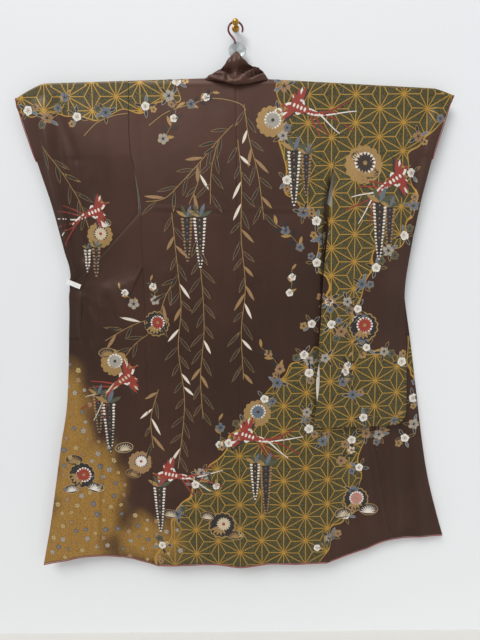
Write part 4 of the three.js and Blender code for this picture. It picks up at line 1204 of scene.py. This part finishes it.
def willowStrand(points, leaf, seed):
    # a hanging stem with long narrow leaves, some filled and some only outlined
    rng = random.Random(seed)
    line = smooth(points, np.linspace(0, len(points) - 1, 60))
    patches = [(ribbon(line, 2.0), 0, "gold")]
    lengths = np.r_[0, np.cumsum(np.linalg.norm(np.diff(line, axis=0), axis=1))]
    colours = ["black", "black", "umber", "white", "umber", "tan", "black"]

    def at(d):
        return np.interp(d, lengths, line[:, 0]), np.interp(d, lengths, line[:, 1])

    for k in range(int(lengths[-1] / leaf["every"])):
        d = (k + 0.5 + rng.uniform(-0.25, 0.25)) * leaf["every"]
        x, z = at(d)
        nextX, nextZ = at(min(d + 5, lengths[-1]))
        turn = math.atan2(nextZ - z, nextX - x) + (1 if k % 2 else -1) * rng.uniform(0.4, 0.75)
        long = leaf["long"] * rng.uniform(0.75, 1.15)
        c, s = math.cos(turn), math.sin(turn)
        patches.append((leafShape(x, z, long, leaf["wide"], turn), 1, "gold"))
        inner = colours[rng.randrange(len(colours))]
        patches.append((leafShape(x + 1.6 * c, z + 1.6 * s, long - 4, leaf["wide"] - 2.0, turn), 2, inner))
    return patches


def wisteria(length, petal, edge, seed):
    # a hanging cluster: rows of paired petals that narrow to a tip
    rng = random.Random(seed)
    patches = []
    rows = max(8, round(length / 9.5))
    for row in range(rows):
        t = row / (rows - 1)
        half = 0.115 * length * (1 - t) ** 0.6 + 1.5
        z = -t * length
        patches.append((ellipse(0, z, half + 4, 5.2, 0, 10), 0, "umber" if row % 2 else "black"))
        for side in (-1, 1):
            wide = 4.8 * (1.1 - 0.55 * t)
            x = side * (half * 0.85) + rng.uniform(-0.6, 0.6)
            patches.append((ellipse(x, z, wide, 3.3 * (1.1 - 0.3 * t), 0.25 * side, 8), 1, petal))
        if row % 2 == 0 and t < 0.6:
            patches.append((ellipse(rng.uniform(-1, 1), z - 3, 3.0, 2.4, 0, 8), 2, edge))
    for turn, colour in ((0.45, "moss"), (2.6, "gold"), (1.2, "slate"), (2.0, "moss")):
        patches.append((leafShape(0, 6, 0.3 * length, 0.085 * length, turn), 3, colour))
    return patches


# The hung cloth as one surface that the print is laid on, met from the room's side.
joined, faceSets, offset = [], [], 0
for points, faces in clothPoints.values():
    joined.append(points)
    faceSets.append(faces + offset)
    offset += len(points)
clothTree = BVHTree.FromPolygons((np.concatenate(joined)).tolist(), np.concatenate(faceSets).tolist())


def newPrint():
    return {"points": [], "faces": [], "tint": [], "foil": []}


printed = newPrint()


def onCloth(x, z):
    hit, normal, _, _ = clothTree.ray_cast(Vector((x, printSizes["from"], z)), Vector((0, 1, 0)))
    return hit, normal


def layPatch(outline, level, colour, near):
    lift = printSizes["base"] + printSizes["level"] * level
    if isinstance(outline, tuple):
        flatPoints = np.concatenate([outline[1], outline[2]])
        n = len(outline[1])
        cells = [(i, i + 1, n + i + 1, n + i) for i in range(n - 1)]
    else:
        centre = outline.mean(axis=0)
        reach = np.linalg.norm(outline - centre, axis=1).max()
        rings = max(1, math.ceil(reach / printSizes["step"]))
        n = len(outline)
        circles = [centre + (outline - centre) * (k + 1) / rings for k in range(rings)]
        flatPoints = np.concatenate([[centre]] + circles)
        cells = [(0, 1 + i, 1 + (i + 1) % n) for i in range(n)]
        for k in range(1, rings):
            a, b = 1 + (k - 1) * n, 1 + k * n
            cells += [(a + i, b + i, b + (i + 1) % n, a + (i + 1) % n) for i in range(n)]
    places = []
    for x, z in flatPoints:
        hit, normal = onCloth(x, z)
        on = hit is not None and abs(hit.y - near) < printSizes["apart"] and normal.y < printSizes["facing"]
        places.append(hit + normal * lift if on else None)
    start = len(printed["points"])
    used = {}
    rgb, foil = linear(ink[colour][0]), ink[colour][1]
    for cell in cells:
        corners = [places[i] for i in cell]
        if any(p is None for p in corners):
            continue
        depths = [p.y for p in corners]
        if max(depths) - min(depths) > printSizes["tear"]:
            continue
        face = []
        for i in cell:
            if i not in used:
                used[i] = start + len(used)
                printed["points"].append(tuple(places[i] * mm))
                printed["tint"].append(rgb)
                printed["foil"].append(float(foil))
            face.append(used[i])
        a, b, c = (Vector(printed["points"][i]) for i in face[:3])
        if (b - a).cross(c - a).y > 0:
            face.reverse()
        printed["faces"].append(face)


def stamp(patches, x, z, turn=0.0):
    hit, _ = onCloth(x, z)
    if hit is None:
        return
    c, s = math.cos(turn), math.sin(turn)
    matrix = np.array([[c, s], [-s, c]])
    for outline, level, colour in patches:
        if isinstance(outline, tuple):
            moved = (outline[0], outline[1] @ matrix + [x, z], outline[2] @ matrix + [x, z])
        else:
            moved = outline @ matrix + [x, z]
        layPatch(moved, level, colour, hit.y)


leaf = {"long": 62, "wide": 10.5, "every": 29}
layout = {
    "strands": [
        [(-10, -300), (-60, -350), (-112, -410), (-170, -470), (-225, -520), (-285, -530)],
        [(-112, -410), (-120, -470), (-150, -540)],
        [(-55, -345), (-78, -430), (-84, -540)],
        [(-205, -565), (-192, -720), (-182, -860), (-194, -1000), (-178, -1180), (-204, -1400)],
        [(-128, -640), (-114, -790), (-110, -940), (-124, -1090), (-118, -1230)],
        [(4, -345), (14, -470), (12, -640), (24, -800), (10, -940), (16, -1100)],
        [(24, -240), (38, -340), (66, -450), (84, -590)],
        [(-600, -360), (-552, -430), (-500, -520), (-470, -610)],
        [(-262, -1130), (-290, -1230), (-284, -1330)],
        [(-190, -760), (-232, -830), (-262, -930)],
        [(-292, -950), (-338, -985), (-384, -1046)],
        [(-300, -905), (-352, -925), (-428, -968)],
    ],
    "boughs": [
        [(-270, -300), (-215, -262), (-147, -240), (-70, -222), (6, -236), (30, -258)],
        [(-470, -330), (-430, -292), (-380, -270), (-330, -262)],
    ],
    "wisteria": [
        (-118, -585, 150), (-158, -585, 130), (178, -385, 160), (216, -395, 120), (446, -545, 170),
        (478, -560, 130), (-426, -1180, 160), (-458, -1150, 120), (-268, -1470, 150), (88, -1400, 160),
        (52, -1390, 120), (-450, -676, 84), (-479, -680, 66),
    ],
    "roundels": [
        (108, -292, 48, "gold", "gold", "grey", "white", "umber"),
        (394, -424, 60, "gold", "gold", "umber", "white", "gold"),
        (-436, -632, 41, "gold", "gold", "cream", "umber", "red"),
        (-402, -1040, 44, "gold", "gold", "grey", "white", "umber"),
        (-330, -1380, 40, "gold", "tan", "white", "umber", "red"),
        (402, -930, 48, "gold", "black", "red", "white", "gold"),
        (-524, -1420, 47, "gold", "black", "red", "white", "gold"),
        (-60, -1600, 47, "gold", "black", "cream", "umber", "red"),
        (392, -1520, 44, "gold", "black", "rose", "white", "gold"),
        (-262, -915, 42, "gold", "black", "red", "white", "gold"),
        (60, -1215, 46, "gold", "gold", "slate", "white", "umber"),
    ],
    "pines": [
        (385, -405, 34), (412, -452, 32), (436, -1560, 34), (350, -1572, 30), (-548, -1370, 30),
        (-482, -1465, 30), (-108, -1568, 26), (-16, -1640, 28), (-424, -600, 26), (-380, -1330, 30),
        (-355, -1420, 26), (-560, -1470, 26), (-232, -1560, 26), (-425, -1010, 26),
    ],
    "birds": [
        (196, -250, 74, 2.75, "red", "white"), (492, -470, 74, 0.55, "red", "white"),
        (-452, -560, 66, 0.35, "red", "white"), (-372, -1095, 72, 0.6, "red", "cream"),
        (30, -1290, 76, 2.8, "red", "white"), (-226, -1420, 72, 2.9, "red", "white"),
    ],
    "sprays": [
        (-238, -352, 0.75, 110), (-150, -240, 0.1, 80), (205, -690, 2.0, 110), (-266, -850, 1.4, 70),
        (160, -830, 1.1, 80), (140, -1080, 1.9, 100), (-70, -1330, 1.2, 90), (330, -1120, 1.0, 90),
        (470, -1290, 0.6, 80), (-330, -860, 1.9, 70), (330, -1390, 0.5, 80), (250, -1690, 0.4, 80),
        (-70, -1470, 2.2, 80), (-556, -250, 0.6, 60),
    ],
}


def layMotifs():
    rng = random.Random(5)
    for k, line in enumerate(layout["strands"]):
        middle = np.array(line[0], float)
        stamp(willowStrand(np.array(line, float) - middle, leaf, k), *middle)
    for k, line in enumerate(layout["boughs"]):
        middle = np.array(line[len(line) // 2], float)
        along = smooth(np.array(line, float) - middle, np.linspace(0, len(line) - 1, 50))
        stamp([(ribbon(along, 2.2), 0, "gold"), (ribbon(along + [0, 3], 1.2), 1, "umber")], *middle)
    for x, z, radius, *colours in layout["roundels"]:
        stamp(roundel(radius, *colours), x, z, rng.uniform(-0.5, 0.5))
    for k, (x, z, radius) in enumerate(layout["pines"]):
        needle, edge = ("cream", "gold", "white")[k % 3], ("gold", "pale")[k % 2]
        stamp(pine(radius, needle, edge), x, z, rng.uniform(-0.25, 0.25))
    for k, (x, z, length) in enumerate(layout["wisteria"]):
        stamp(wisteria(length, ("white", "tan")[k % 2], ("gold", "slate")[k % 2], k), x, z)
    for x, z, size, turn, body, trim in layout["birds"]:
        stamp(bird(size, body, trim), x, z, turn)


def plum(radius):
    # a round white blossom
    patches = [(scallop(radius, 5, 0.16), 0, "umber"), (scallop(radius - 1.6, 5, 0.16), 1, "white")]
    for k in range(7):
        a = 2 * math.pi * k / 7
        patches.append((rayLeaf(0.12 * radius, 0.4 * radius, 0.08 * radius, a), 2, "umber"))
    patches.append((ellipse(0, 0, 0.15 * radius, 0.15 * radius, 0, 8), 3, "gold"))
    return patches


def someBlossom(rng, low, high, colours, edge="gold", heart="umber"):
    return blossom(rng.uniform(low, high), rng.choice(colours), edge, heart)


def cluster(x, z, rng, white):
    # one blossom with a smaller one and leaves about it
    turn = rng.uniform(0, 6.28)
    for k in range(4):
        a = turn + 1.5 * k + rng.uniform(-0.3, 0.3)
        under, over = "gold" if k % 2 else "grey", ("black", "umber", "slate")[k % 3]
        stamp([(rayLeaf(9, 27, 10.5, a), 0, under), (rayLeaf(11, 22.5, 7.8, a), 1, over)], x, z)
    if white:
        main = plum(rng.uniform(14.5, 17.5))
    else:
        main = someBlossom(rng, 16, 20, ["slate", "tan", "grey"])
    stamp(main, x, z, turn)
    a = turn + rng.uniform(1, 4)
    small = someBlossom(rng, 10, 14, ["tan", "slate", "gold", "moss"])
    stamp(small, x + 27 * math.cos(a), z + 27 * math.sin(a), turn)


edgeFlowers = {"every": 88, "astray": 14, "top": -190, "bottom": -1760}
strewn = {"tries": 1800, "x": (-690, -200), "z": (-1740, -960), "inside": -18, "apart": 30}


def layFlowers():
    rng = random.Random(11)
    # blossoms follow the edges of the starred ground
    spot, astray = 0, edgeFlowers["astray"]
    for outline in grounds["stars"][:4]:
        ring = np.array(outline + outline[:1], float)
        for (x0, z0), (x1, z1) in zip(ring[:-1], ring[1:]):
            if min(z0, z1) > edgeFlowers["top"] or max(z0, z1) < edgeFlowers["bottom"]:
                continue
            count = max(1, round(math.hypot(x1 - x0, z1 - z0) / edgeFlowers["every"]))
            for k in range(count):
                t = (k + rng.uniform(0.2, 0.8)) / count
                x = mix(x0, x1, t) + rng.uniform(-astray, astray)
                z = mix(z0, z1, t) + rng.uniform(-astray, astray)
                cluster(x, z, rng, spot % 2 == 0)
                spot += 1
    # small ones are strewn over the gilt ground
    spots = []
    for _ in range(strewn["tries"]):
        x, z = rng.uniform(*strewn["x"]), rng.uniform(*strewn["z"])
        if groundAt("gilt", np.array([x]), np.array([z]))[0] < strewn["inside"]:
            continue
        if any(math.hypot(x - a, z - b) < strewn["apart"] for a, b in spots):
            continue
        spots.append((x, z))
        small = someBlossom(rng, 6, 10.5, ["pale", "tan", "grey", "slate"], "umber", "gold")
        stamp(small, x, z, rng.uniform(0, 1.2))
    for x, z, turn, length in layout["sprays"]:
        stamp(sprig(length, rng.choice(["moss", "umber", "black"]), "gold"), x, z, turn)
        for share in (0.15, 0.75):
            far = length * share
            (at,) = turned(np.array([far]), np.array([spray["curve"] * far * share]), x, z, turn)
            if rng.random() < 0.3:
                stamp(plum(14), *at, turn)
            else:
                stamp(someBlossom(rng, 13, 18, ["slate", "tan", "grey", "cream"]), *at, turn)


def printObject(name):
    mesh = bpy.data.meshes.new(name)
    mesh.from_pydata(printed["points"], [], printed["faces"])
    for key, kind, field in (("tint", "FLOAT_COLOR", "color"), ("foil", "FLOAT", "value")):
        mesh.attributes.new(key, kind, "POINT").data.foreach_set(field, np.array(printed[key]).ravel())
    mesh.polygons.foreach_set("use_smooth", np.ones(len(mesh.polygons), bool))
    mesh.materials.append(materials["ink"])
    mesh.update()
    pieces[name] = linkObject(bpy.data.objects.new(name, mesh))
    print(name, "tris", sum(len(f) - 2 for f in printed["faces"]))


layMotifs()
printObject("motifPrint")
printed = newPrint()
layFlowers()
printObject("flowerPrint")


# Rolled red edges

edgeRoll = {"hem": 1.7, "mouth": 1.4, "below": 1.2, "beyond": 1.5, "hemRings": 260, "mouthRings": 24}


def newTree(name, given):
    tree = bpy.data.node_groups.new(name, "GeometryNodeTree")
    for label, kind in given.items():
        tree.interface.new_socket(name=label, in_out="INPUT", socket_type="NodeSocket" + kind)
    tree.interface.new_socket(name="Shape", in_out="OUTPUT", socket_type="NodeSocketGeometry")
    return tree


def joinNodes(tree, links):
    for start, end in links:
        tree.links.new(start, end)
    return tree


def makeTubeTree():
    # a closed round tube along a line of edges
    sockets = {"Line": "Geometry", "Radius": "Float", "Around": "Int", "Material": "Material"}
    tree = newTree("tubeAlongLine", sockets)
    given, path, ring, sweep, soft, real, paint, out = (tree.nodes.new(kind) for kind in (
        "NodeGroupInput", "GeometryNodeMeshToCurve", "GeometryNodeCurvePrimitiveCircle",
        "GeometryNodeCurveToMesh", "GeometryNodeSetShadeSmooth", "GeometryNodeRealizeInstances",
        "GeometryNodeSetMaterial", "NodeGroupOutput"))
    sweep.inputs["Fill Caps"].default_value = True
    return joinNodes(tree, (
        (given.outputs["Line"], path.inputs[0]),
        (given.outputs["Around"], ring.inputs["Resolution"]),
        (given.outputs["Radius"], ring.inputs["Radius"]),
        (path.outputs[0], sweep.inputs["Curve"]),
        (ring.outputs[0], sweep.inputs["Profile Curve"]),
        (sweep.outputs[0], soft.inputs[0]),
        (soft.outputs[0], real.inputs[0]),
        (real.outputs[0], paint.inputs["Geometry"]),
        (given.outputs["Material"], paint.inputs["Material"]),
        (paint.outputs[0], out.inputs[0]),
    ))


def makeRibTree():
    # a row of small ribs set on a body
    tree = newTree("ribRow", {
        "Body": "Geometry", "Count": "Int", "First": "Vector", "Step": "Vector", "Size": "Vector",
        "Material": "Material",
    })
    given, row, rib, place, real, both, paint, out = (tree.nodes.new(kind) for kind in (
        "NodeGroupInput", "GeometryNodeMeshLine", "GeometryNodeMeshCube", "GeometryNodeInstanceOnPoints",
        "GeometryNodeRealizeInstances", "GeometryNodeJoinGeometry", "GeometryNodeSetMaterial",
        "NodeGroupOutput"))
    return joinNodes(tree, (
        (given.outputs["Count"], row.inputs["Count"]),
        (given.outputs["First"], row.inputs["Start Location"]),
        (given.outputs["Step"], row.inputs["Offset"]),
        (given.outputs["Size"], rib.inputs["Size"]),
        (row.outputs[0], place.inputs["Points"]),
        (rib.outputs[0], place.inputs["Instance"]),
        (place.outputs[0], real.inputs[0]),
        (real.outputs[0], both.inputs[0]),
        (given.outputs["Body"], both.inputs[0]),
        (both.outputs[0], paint.inputs["Geometry"]),
        (given.outputs["Material"], paint.inputs["Material"]),
        (paint.outputs[0], out.inputs[0]),
    ))


def applyTree(obj, tree, values):
    # the tree's result as the object's own mesh
    modifier = obj.modifiers.new("shape", "NODES")
    modifier.node_group = tree
    for socket in tree.interface.items_tree:
        if socket.name in values:
            modifier[socket.identifier] = values[socket.name]
    mesh = bpy.data.meshes.new_from_object(obj.evaluated_get(bpy.context.evaluated_depsgraph_get()))
    obj.modifiers.remove(modifier)
    obj.data = mesh
    return faceOut(obj)


tubeTree, ribTree = makeTubeTree(), makeRibTree()


def tubeMesh(name, line, radius, material, around=10):
    path = bpy.data.meshes.new(name + "Line")
    path.from_pydata((np.asarray(line) * mm).tolist(), [(i, i + 1) for i in range(len(line) - 1)], [])
    obj = linkObject(bpy.data.objects.new(name, path))
    values = {"Radius": radius * mm, "Around": around, "Material": materials[material]}
    return applyTree(obj, tubeTree, values)


def faceOut(obj):
    # its faces all turned outwards
    bm = bmesh.new()
    bm.from_mesh(obj.data)
    bmesh.ops.recalc_face_normals(bm, faces=bm.faces)
    bm.to_mesh(obj.data)
    bm.free()
    return obj


def solidMesh(name, points, faces, material):
    mesh = bpy.data.meshes.new(name)
    mesh.from_pydata((np.asarray(points) * mm).tolist(), [], faces)
    mesh.materials.append(materials[material])
    mesh.polygons.foreach_set("use_smooth", np.ones(len(mesh.polygons), bool))
    mesh.update()
    return faceOut(linkObject(bpy.data.objects.new(name, mesh)))


def hemLine():
    under = edgeRoll["hem"] + edgeRoll["below"]
    lines = []
    for name in sideNames:
        fronts = frontSheet(name, np.array([0.0]), np.linspace(0, 3, 60))[0]
        backs = backSheet(name, np.array([len(backRows[name]) - 1.0]), np.linspace(0.96, 0.01, 50))[0]
        lines.append(np.concatenate([fronts, backs]))
    line = np.concatenate([lines[0], lines[1][::-1]])
    line = smooth(line, np.linspace(0, len(line) - 1, edgeRoll["hemRings"]))
    return line - [0, 0, under]


def mouthLine(name):
    side = sides[name]
    beyond = side["sign"] * (edgeRoll["mouth"] + edgeRoll["beyond"])
    places = np.linspace(0.5, 4, edgeRoll["mouthRings"])
    one = np.array([1.0])
    roomSide = sleeveLayer(name, "room", places, one)[::-1, 0]
    wallSide = sleeveLayer(name, "wall", places, one)[:, 0]
    tip = np.array([side["sign"] * side["tip"]], float)
    arch = np.array([overRod(side, tip, a)[0] for a in rollAngles[::4]])
    return np.concatenate([roomSide, arch, wallSide]) + [beyond, 0, 0]


pieces["hemEdge"] = tubeMesh("hemEdge", hemLine(), edgeRoll["hem"], "red")
for name in sideNames:
    pieces[name + "MouthEdge"] = tubeMesh(name + "MouthEdge", mouthLine(name), edgeRoll["mouth"], "red")

# Hanger, wall hook and clip

wire = {"radius": 3, "bare": 2.6, "bend": 22, "seat": 7.3, "y": -27.2, "bareBelow": -58}
disc = {"radius": 27, "thickness": 3, "centre": (5, -24.8, -75)}
hook = {"plate": 11, "arm": 4, "reach": 31, "ball": 10}
clip = {
    "length": 46, "back": 14, "height": 15, "jaw": 2.4, "mouth": 20.4, "centre": (-522, -41, -786),
    "tilt": 0.4, "bevel": 0.3,
}


def hookLine():
    centre = wire["seat"] - wire["bend"]
    arc = [(wire["bend"] * math.cos(a), wire["y"], centre + wire["bend"] * math.sin(a))
           for a in np.linspace(-0.12 * math.pi, 1.2 * math.pi, 13)]
    stem = [(-4, -29.6, -46), (0, -31, -60), (0, -28, -90), (0, -27, -135), (0, -29, axisTop + 13.3)]
    points = np.array(arc + stem, float)
    return centripetal(points, np.linspace(0, len(points) - 1, 140))


def lathe(name, profile, material, around=40, centre=(0, 0, 0)):
    # profile is (radius, along); the axis runs towards the room
    points, faces = [], []
    for radius, along in profile:
        for a in np.linspace(0, 2 * np.pi, around, endpoint=False):
            points.append((radius * math.cos(a), -along, radius * math.sin(a)))
    for i in range(len(profile) - 1):
        for j in range(around):
            a, b = i * around + j, i * around + (j + 1) % around
            faces.append((a, b, b + around, a + around))
    ends = [range(around), range(len(points) - around, len(points))]
    return solidMesh(name, np.array(points) + centre, faces + ends, material)


def makeWallHook():
    plate, r, n, big = hook["plate"], hook["arm"], hook["reach"], hook["ball"]
    turns = np.linspace(-0.35, 0.49, 16) * math.pi
    ball = [(big * math.cos(a), n + big * (0.9 + math.sin(a))) for a in turns]
    profile = [(0.5, 0), (plate - 0.5, 0), (plate, 0.6), (plate, 2.4), (plate - 0.8, 3.0), (r + 2.4, 3.6),
               (r + 1.2, 5), (r, 8), (r, n - 3), (r + 0.8, n - 1.5)] + ball
    return lathe("wallHook", profile, "brass")


def makeDisc():
    r, t = disc["radius"], disc["thickness"] / 2
    profile = [(4.0, -t), (r - 1, -t), (r, -t + 0.8), (r, t - 0.8), (r - 1, t), (r - 4, t),
               (r - 4.6, t - 0.5), (4.0, t - 0.5)]
    return lathe("hangerDisc", profile, "clear", 56, centre=disc["centre"])


def makeClip():
    # two thin jaws and a bowed back, bent from one white strip, with ribs to grip by
    front, tall, jaw = clip["length"] / 2, clip["height"] / 2, clip["jaw"]
    inner, outer = clip["mouth"] / 2, clip["mouth"] / 2 + clip["jaw"]
    short = clip["back"] - front
    outline = [(-front, -outer), (front - 1, -outer), (front, -outer + 0.8), (front, -inner - 0.4),
               (front - 1, -inner), (jaw + 2 - front, -inner), (jaw - front, -inner + 2),
               (jaw - front, inner - 2), (jaw + 2 - front, inner), (short, inner), (short, outer),
               (2 - front, outer), (-front, outer - 2), (-front, -outer + 2)]
    n = len(outline)
    points = [(x, y, z) for z in (-tall, tall) for x, y in outline]
    walls = [(i, (i + 1) % n, n + (i + 1) % n, n + i) for i in range(n)]
    mesh = bpy.data.meshes.new("clip")
    mesh.from_pydata(points, [], walls + [range(n), range(n, 2 * n)])
    obj = linkObject(bpy.data.objects.new("clipJaws", mesh))
    ribs = {"Count": 9, "First": (5 - front, -outer - 0.2, 0), "Step": (4.2, 0, 0)}
    ribs["Size"] = (1.5, 0.9, clip["height"] - 3)
    applyTree(obj, ribTree, {**ribs, "Material": materials["clip"]})
    placed = Matrix.Translation(clip["centre"]) @ Matrix.Rotation(clip["tilt"], 4, "Y")
    obj.data.transform(Matrix.Scale(mm, 4) @ placed)
    bevel = obj.modifiers.new("bevel", "BEVEL")
    bevel.width = clip["bevel"] * mm
    bevel.segments = 2
    return obj


line = hookLine()
bare = int(np.argmax(line[:, 2] < wire["bareBelow"]))
pieces["hookWire"] = tubeMesh("hookWire", line[: bare + 1], wire["radius"], "coated", 16)
pieces["bareWire"] = tubeMesh("bareWire", line[bare:], wire["bare"], "chrome", 16)
pieces["wallHook"] = makeWallHook()
pieces["hangerDisc"] = makeDisc()
pieces["clip"] = makeClip()
print("fittings made")

# What each piece stands for

stands = {
    "leftSleeve": "sleeve_left", "rightSleeve": "sleeve_right", "leftBody": "body_left",
    "rightBody": "body_right", "leftOkumi": "okumi_left", "rightOkumi": "okumi_right",
    "collar": "collar", "hemEdge": "hem_roll", "leftMouthEdge": "mouth_roll_left",
    "rightMouthEdge": "mouth_roll_right", "hookWire": "hanger_hook", "wallHook": "wall_hook",
    "hangerDisc": "hanger_disc", "clip": "clip",
}
for name, obj in pieces.items():
    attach(obj, "root")
    if name in stands:
        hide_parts(stands[name])
for node in ("rod_left", "rod_right", "hanger_hub"):
    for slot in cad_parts[node].material_slots:
        slot.material = materials["chrome"]

# Floor, wall and lights


def stageMaterial(name, code, clearBehind=False):
    material, tree, shader = newMaterial(name)
    tone = noise(tree, objectPlace(tree), 1.2, 2.0, 0.5)
    twoTones(tree, shader, tone, code, code)
    shader["Roughness"].default_value = 0.9
    if clearBehind:
        # seen from behind, and for light that comes from behind, the wall isn't there
        behind = tree.nodes.new("ShaderNodeNewGeometry").outputs["Backfacing"]
        shadow = tree.nodes.new("ShaderNodeLightPath").outputs["Is Shadow Ray"]
        either = calc(tree, "MAXIMUM", behind, shadow)
        clear = tree.nodes.new("ShaderNodeBsdfTransparent").outputs[0]
        mixer = tree.nodes.new("ShaderNodeMixShader")
        put(tree, either, mixer.inputs[0])
        put(tree, tree.nodes["Principled BSDF"].outputs[0], mixer.inputs[1])
        put(tree, clear, mixer.inputs[2])
        put(tree, mixer.outputs[0], tree.nodes["Material Output"].inputs["Surface"])
    return material


def plane(name, corners, material):
    mesh = bpy.data.meshes.new(name)
    mesh.from_pydata(corners, [], [range(4)])
    mesh.materials.append(material)
    obj = linkObject(bpy.data.objects.new(name, mesh))
    return obj


w, floor, top, deep = room["halfWidth"], room["floor"], room["height"], room["depth"]
wallLook = stageMaterial("paleWall", "#e6e8e9", True)
floorLook = stageMaterial("paleFloor", "#c8c6c1")
plane("wall", [(-w, 0, floor), (w, 0, floor), (w, 0, top), (-w, 0, top)], wallLook)
plane("floor", [(-w, -deep, floor), (w, -deep, floor), (w, deep, floor), (-w, deep, floor)], floorLook)


def areaLight(name, place, aim, size, power, colour=(1, 1, 1)):
    data = bpy.data.lights.new(name, "AREA")
    data.shape = "RECTANGLE"
    data.size, data.size_y = size
    data.energy = power
    data.color = colour
    obj = linkObject(bpy.data.objects.new(name, data))
    obj.location = place
    obj.rotation_euler = (Vector(aim) - Vector(place)).to_track_quat("-Z", "Y").to_euler()


lights = [
    ("ceiling", (-0.5, -1.5, 1.7), (0, -0.02, -0.6), (2.6, 1.0), 16, (1, 0.985, 0.965)),
    ("rightFill", (2.4, -2.7, -0.5), (0, 0, -1.1), (1.6, 2.4), 9, (1, 1, 1)),
    ("behind", (0.0, 2.6, 0.6), (0, 0, -0.9), (2.4, 1.8), 40, (1, 1, 1)),
]
for light in lights:
    areaLight(*light)
sky = {"sun": 1.8, "spread": 28, "way": (0.32, 0.62, -0.72), "colour": (0.92, 0.94, 0.97, 1), "glow": 0.5}
sun = bpy.data.lights.new("sky", "SUN")
sun.energy = sky["sun"]
sun.angle = math.radians(sky["spread"])
sunLight = linkObject(bpy.data.objects.new("sky", sun))
sunLight.rotation_euler = Vector(sky["way"]).to_track_quat("-Z", "Y").to_euler()
world = bpy.data.worlds.new("world")
world.use_nodes = True
background = world.node_tree.nodes["Background"].inputs
setAll(background, {"Color": sky["colour"], "Strength": sky["glow"]})
bpy.context.scene.world = world
bpy.context.scene.view_settings.view_transform = "Standard"

print("finishing")
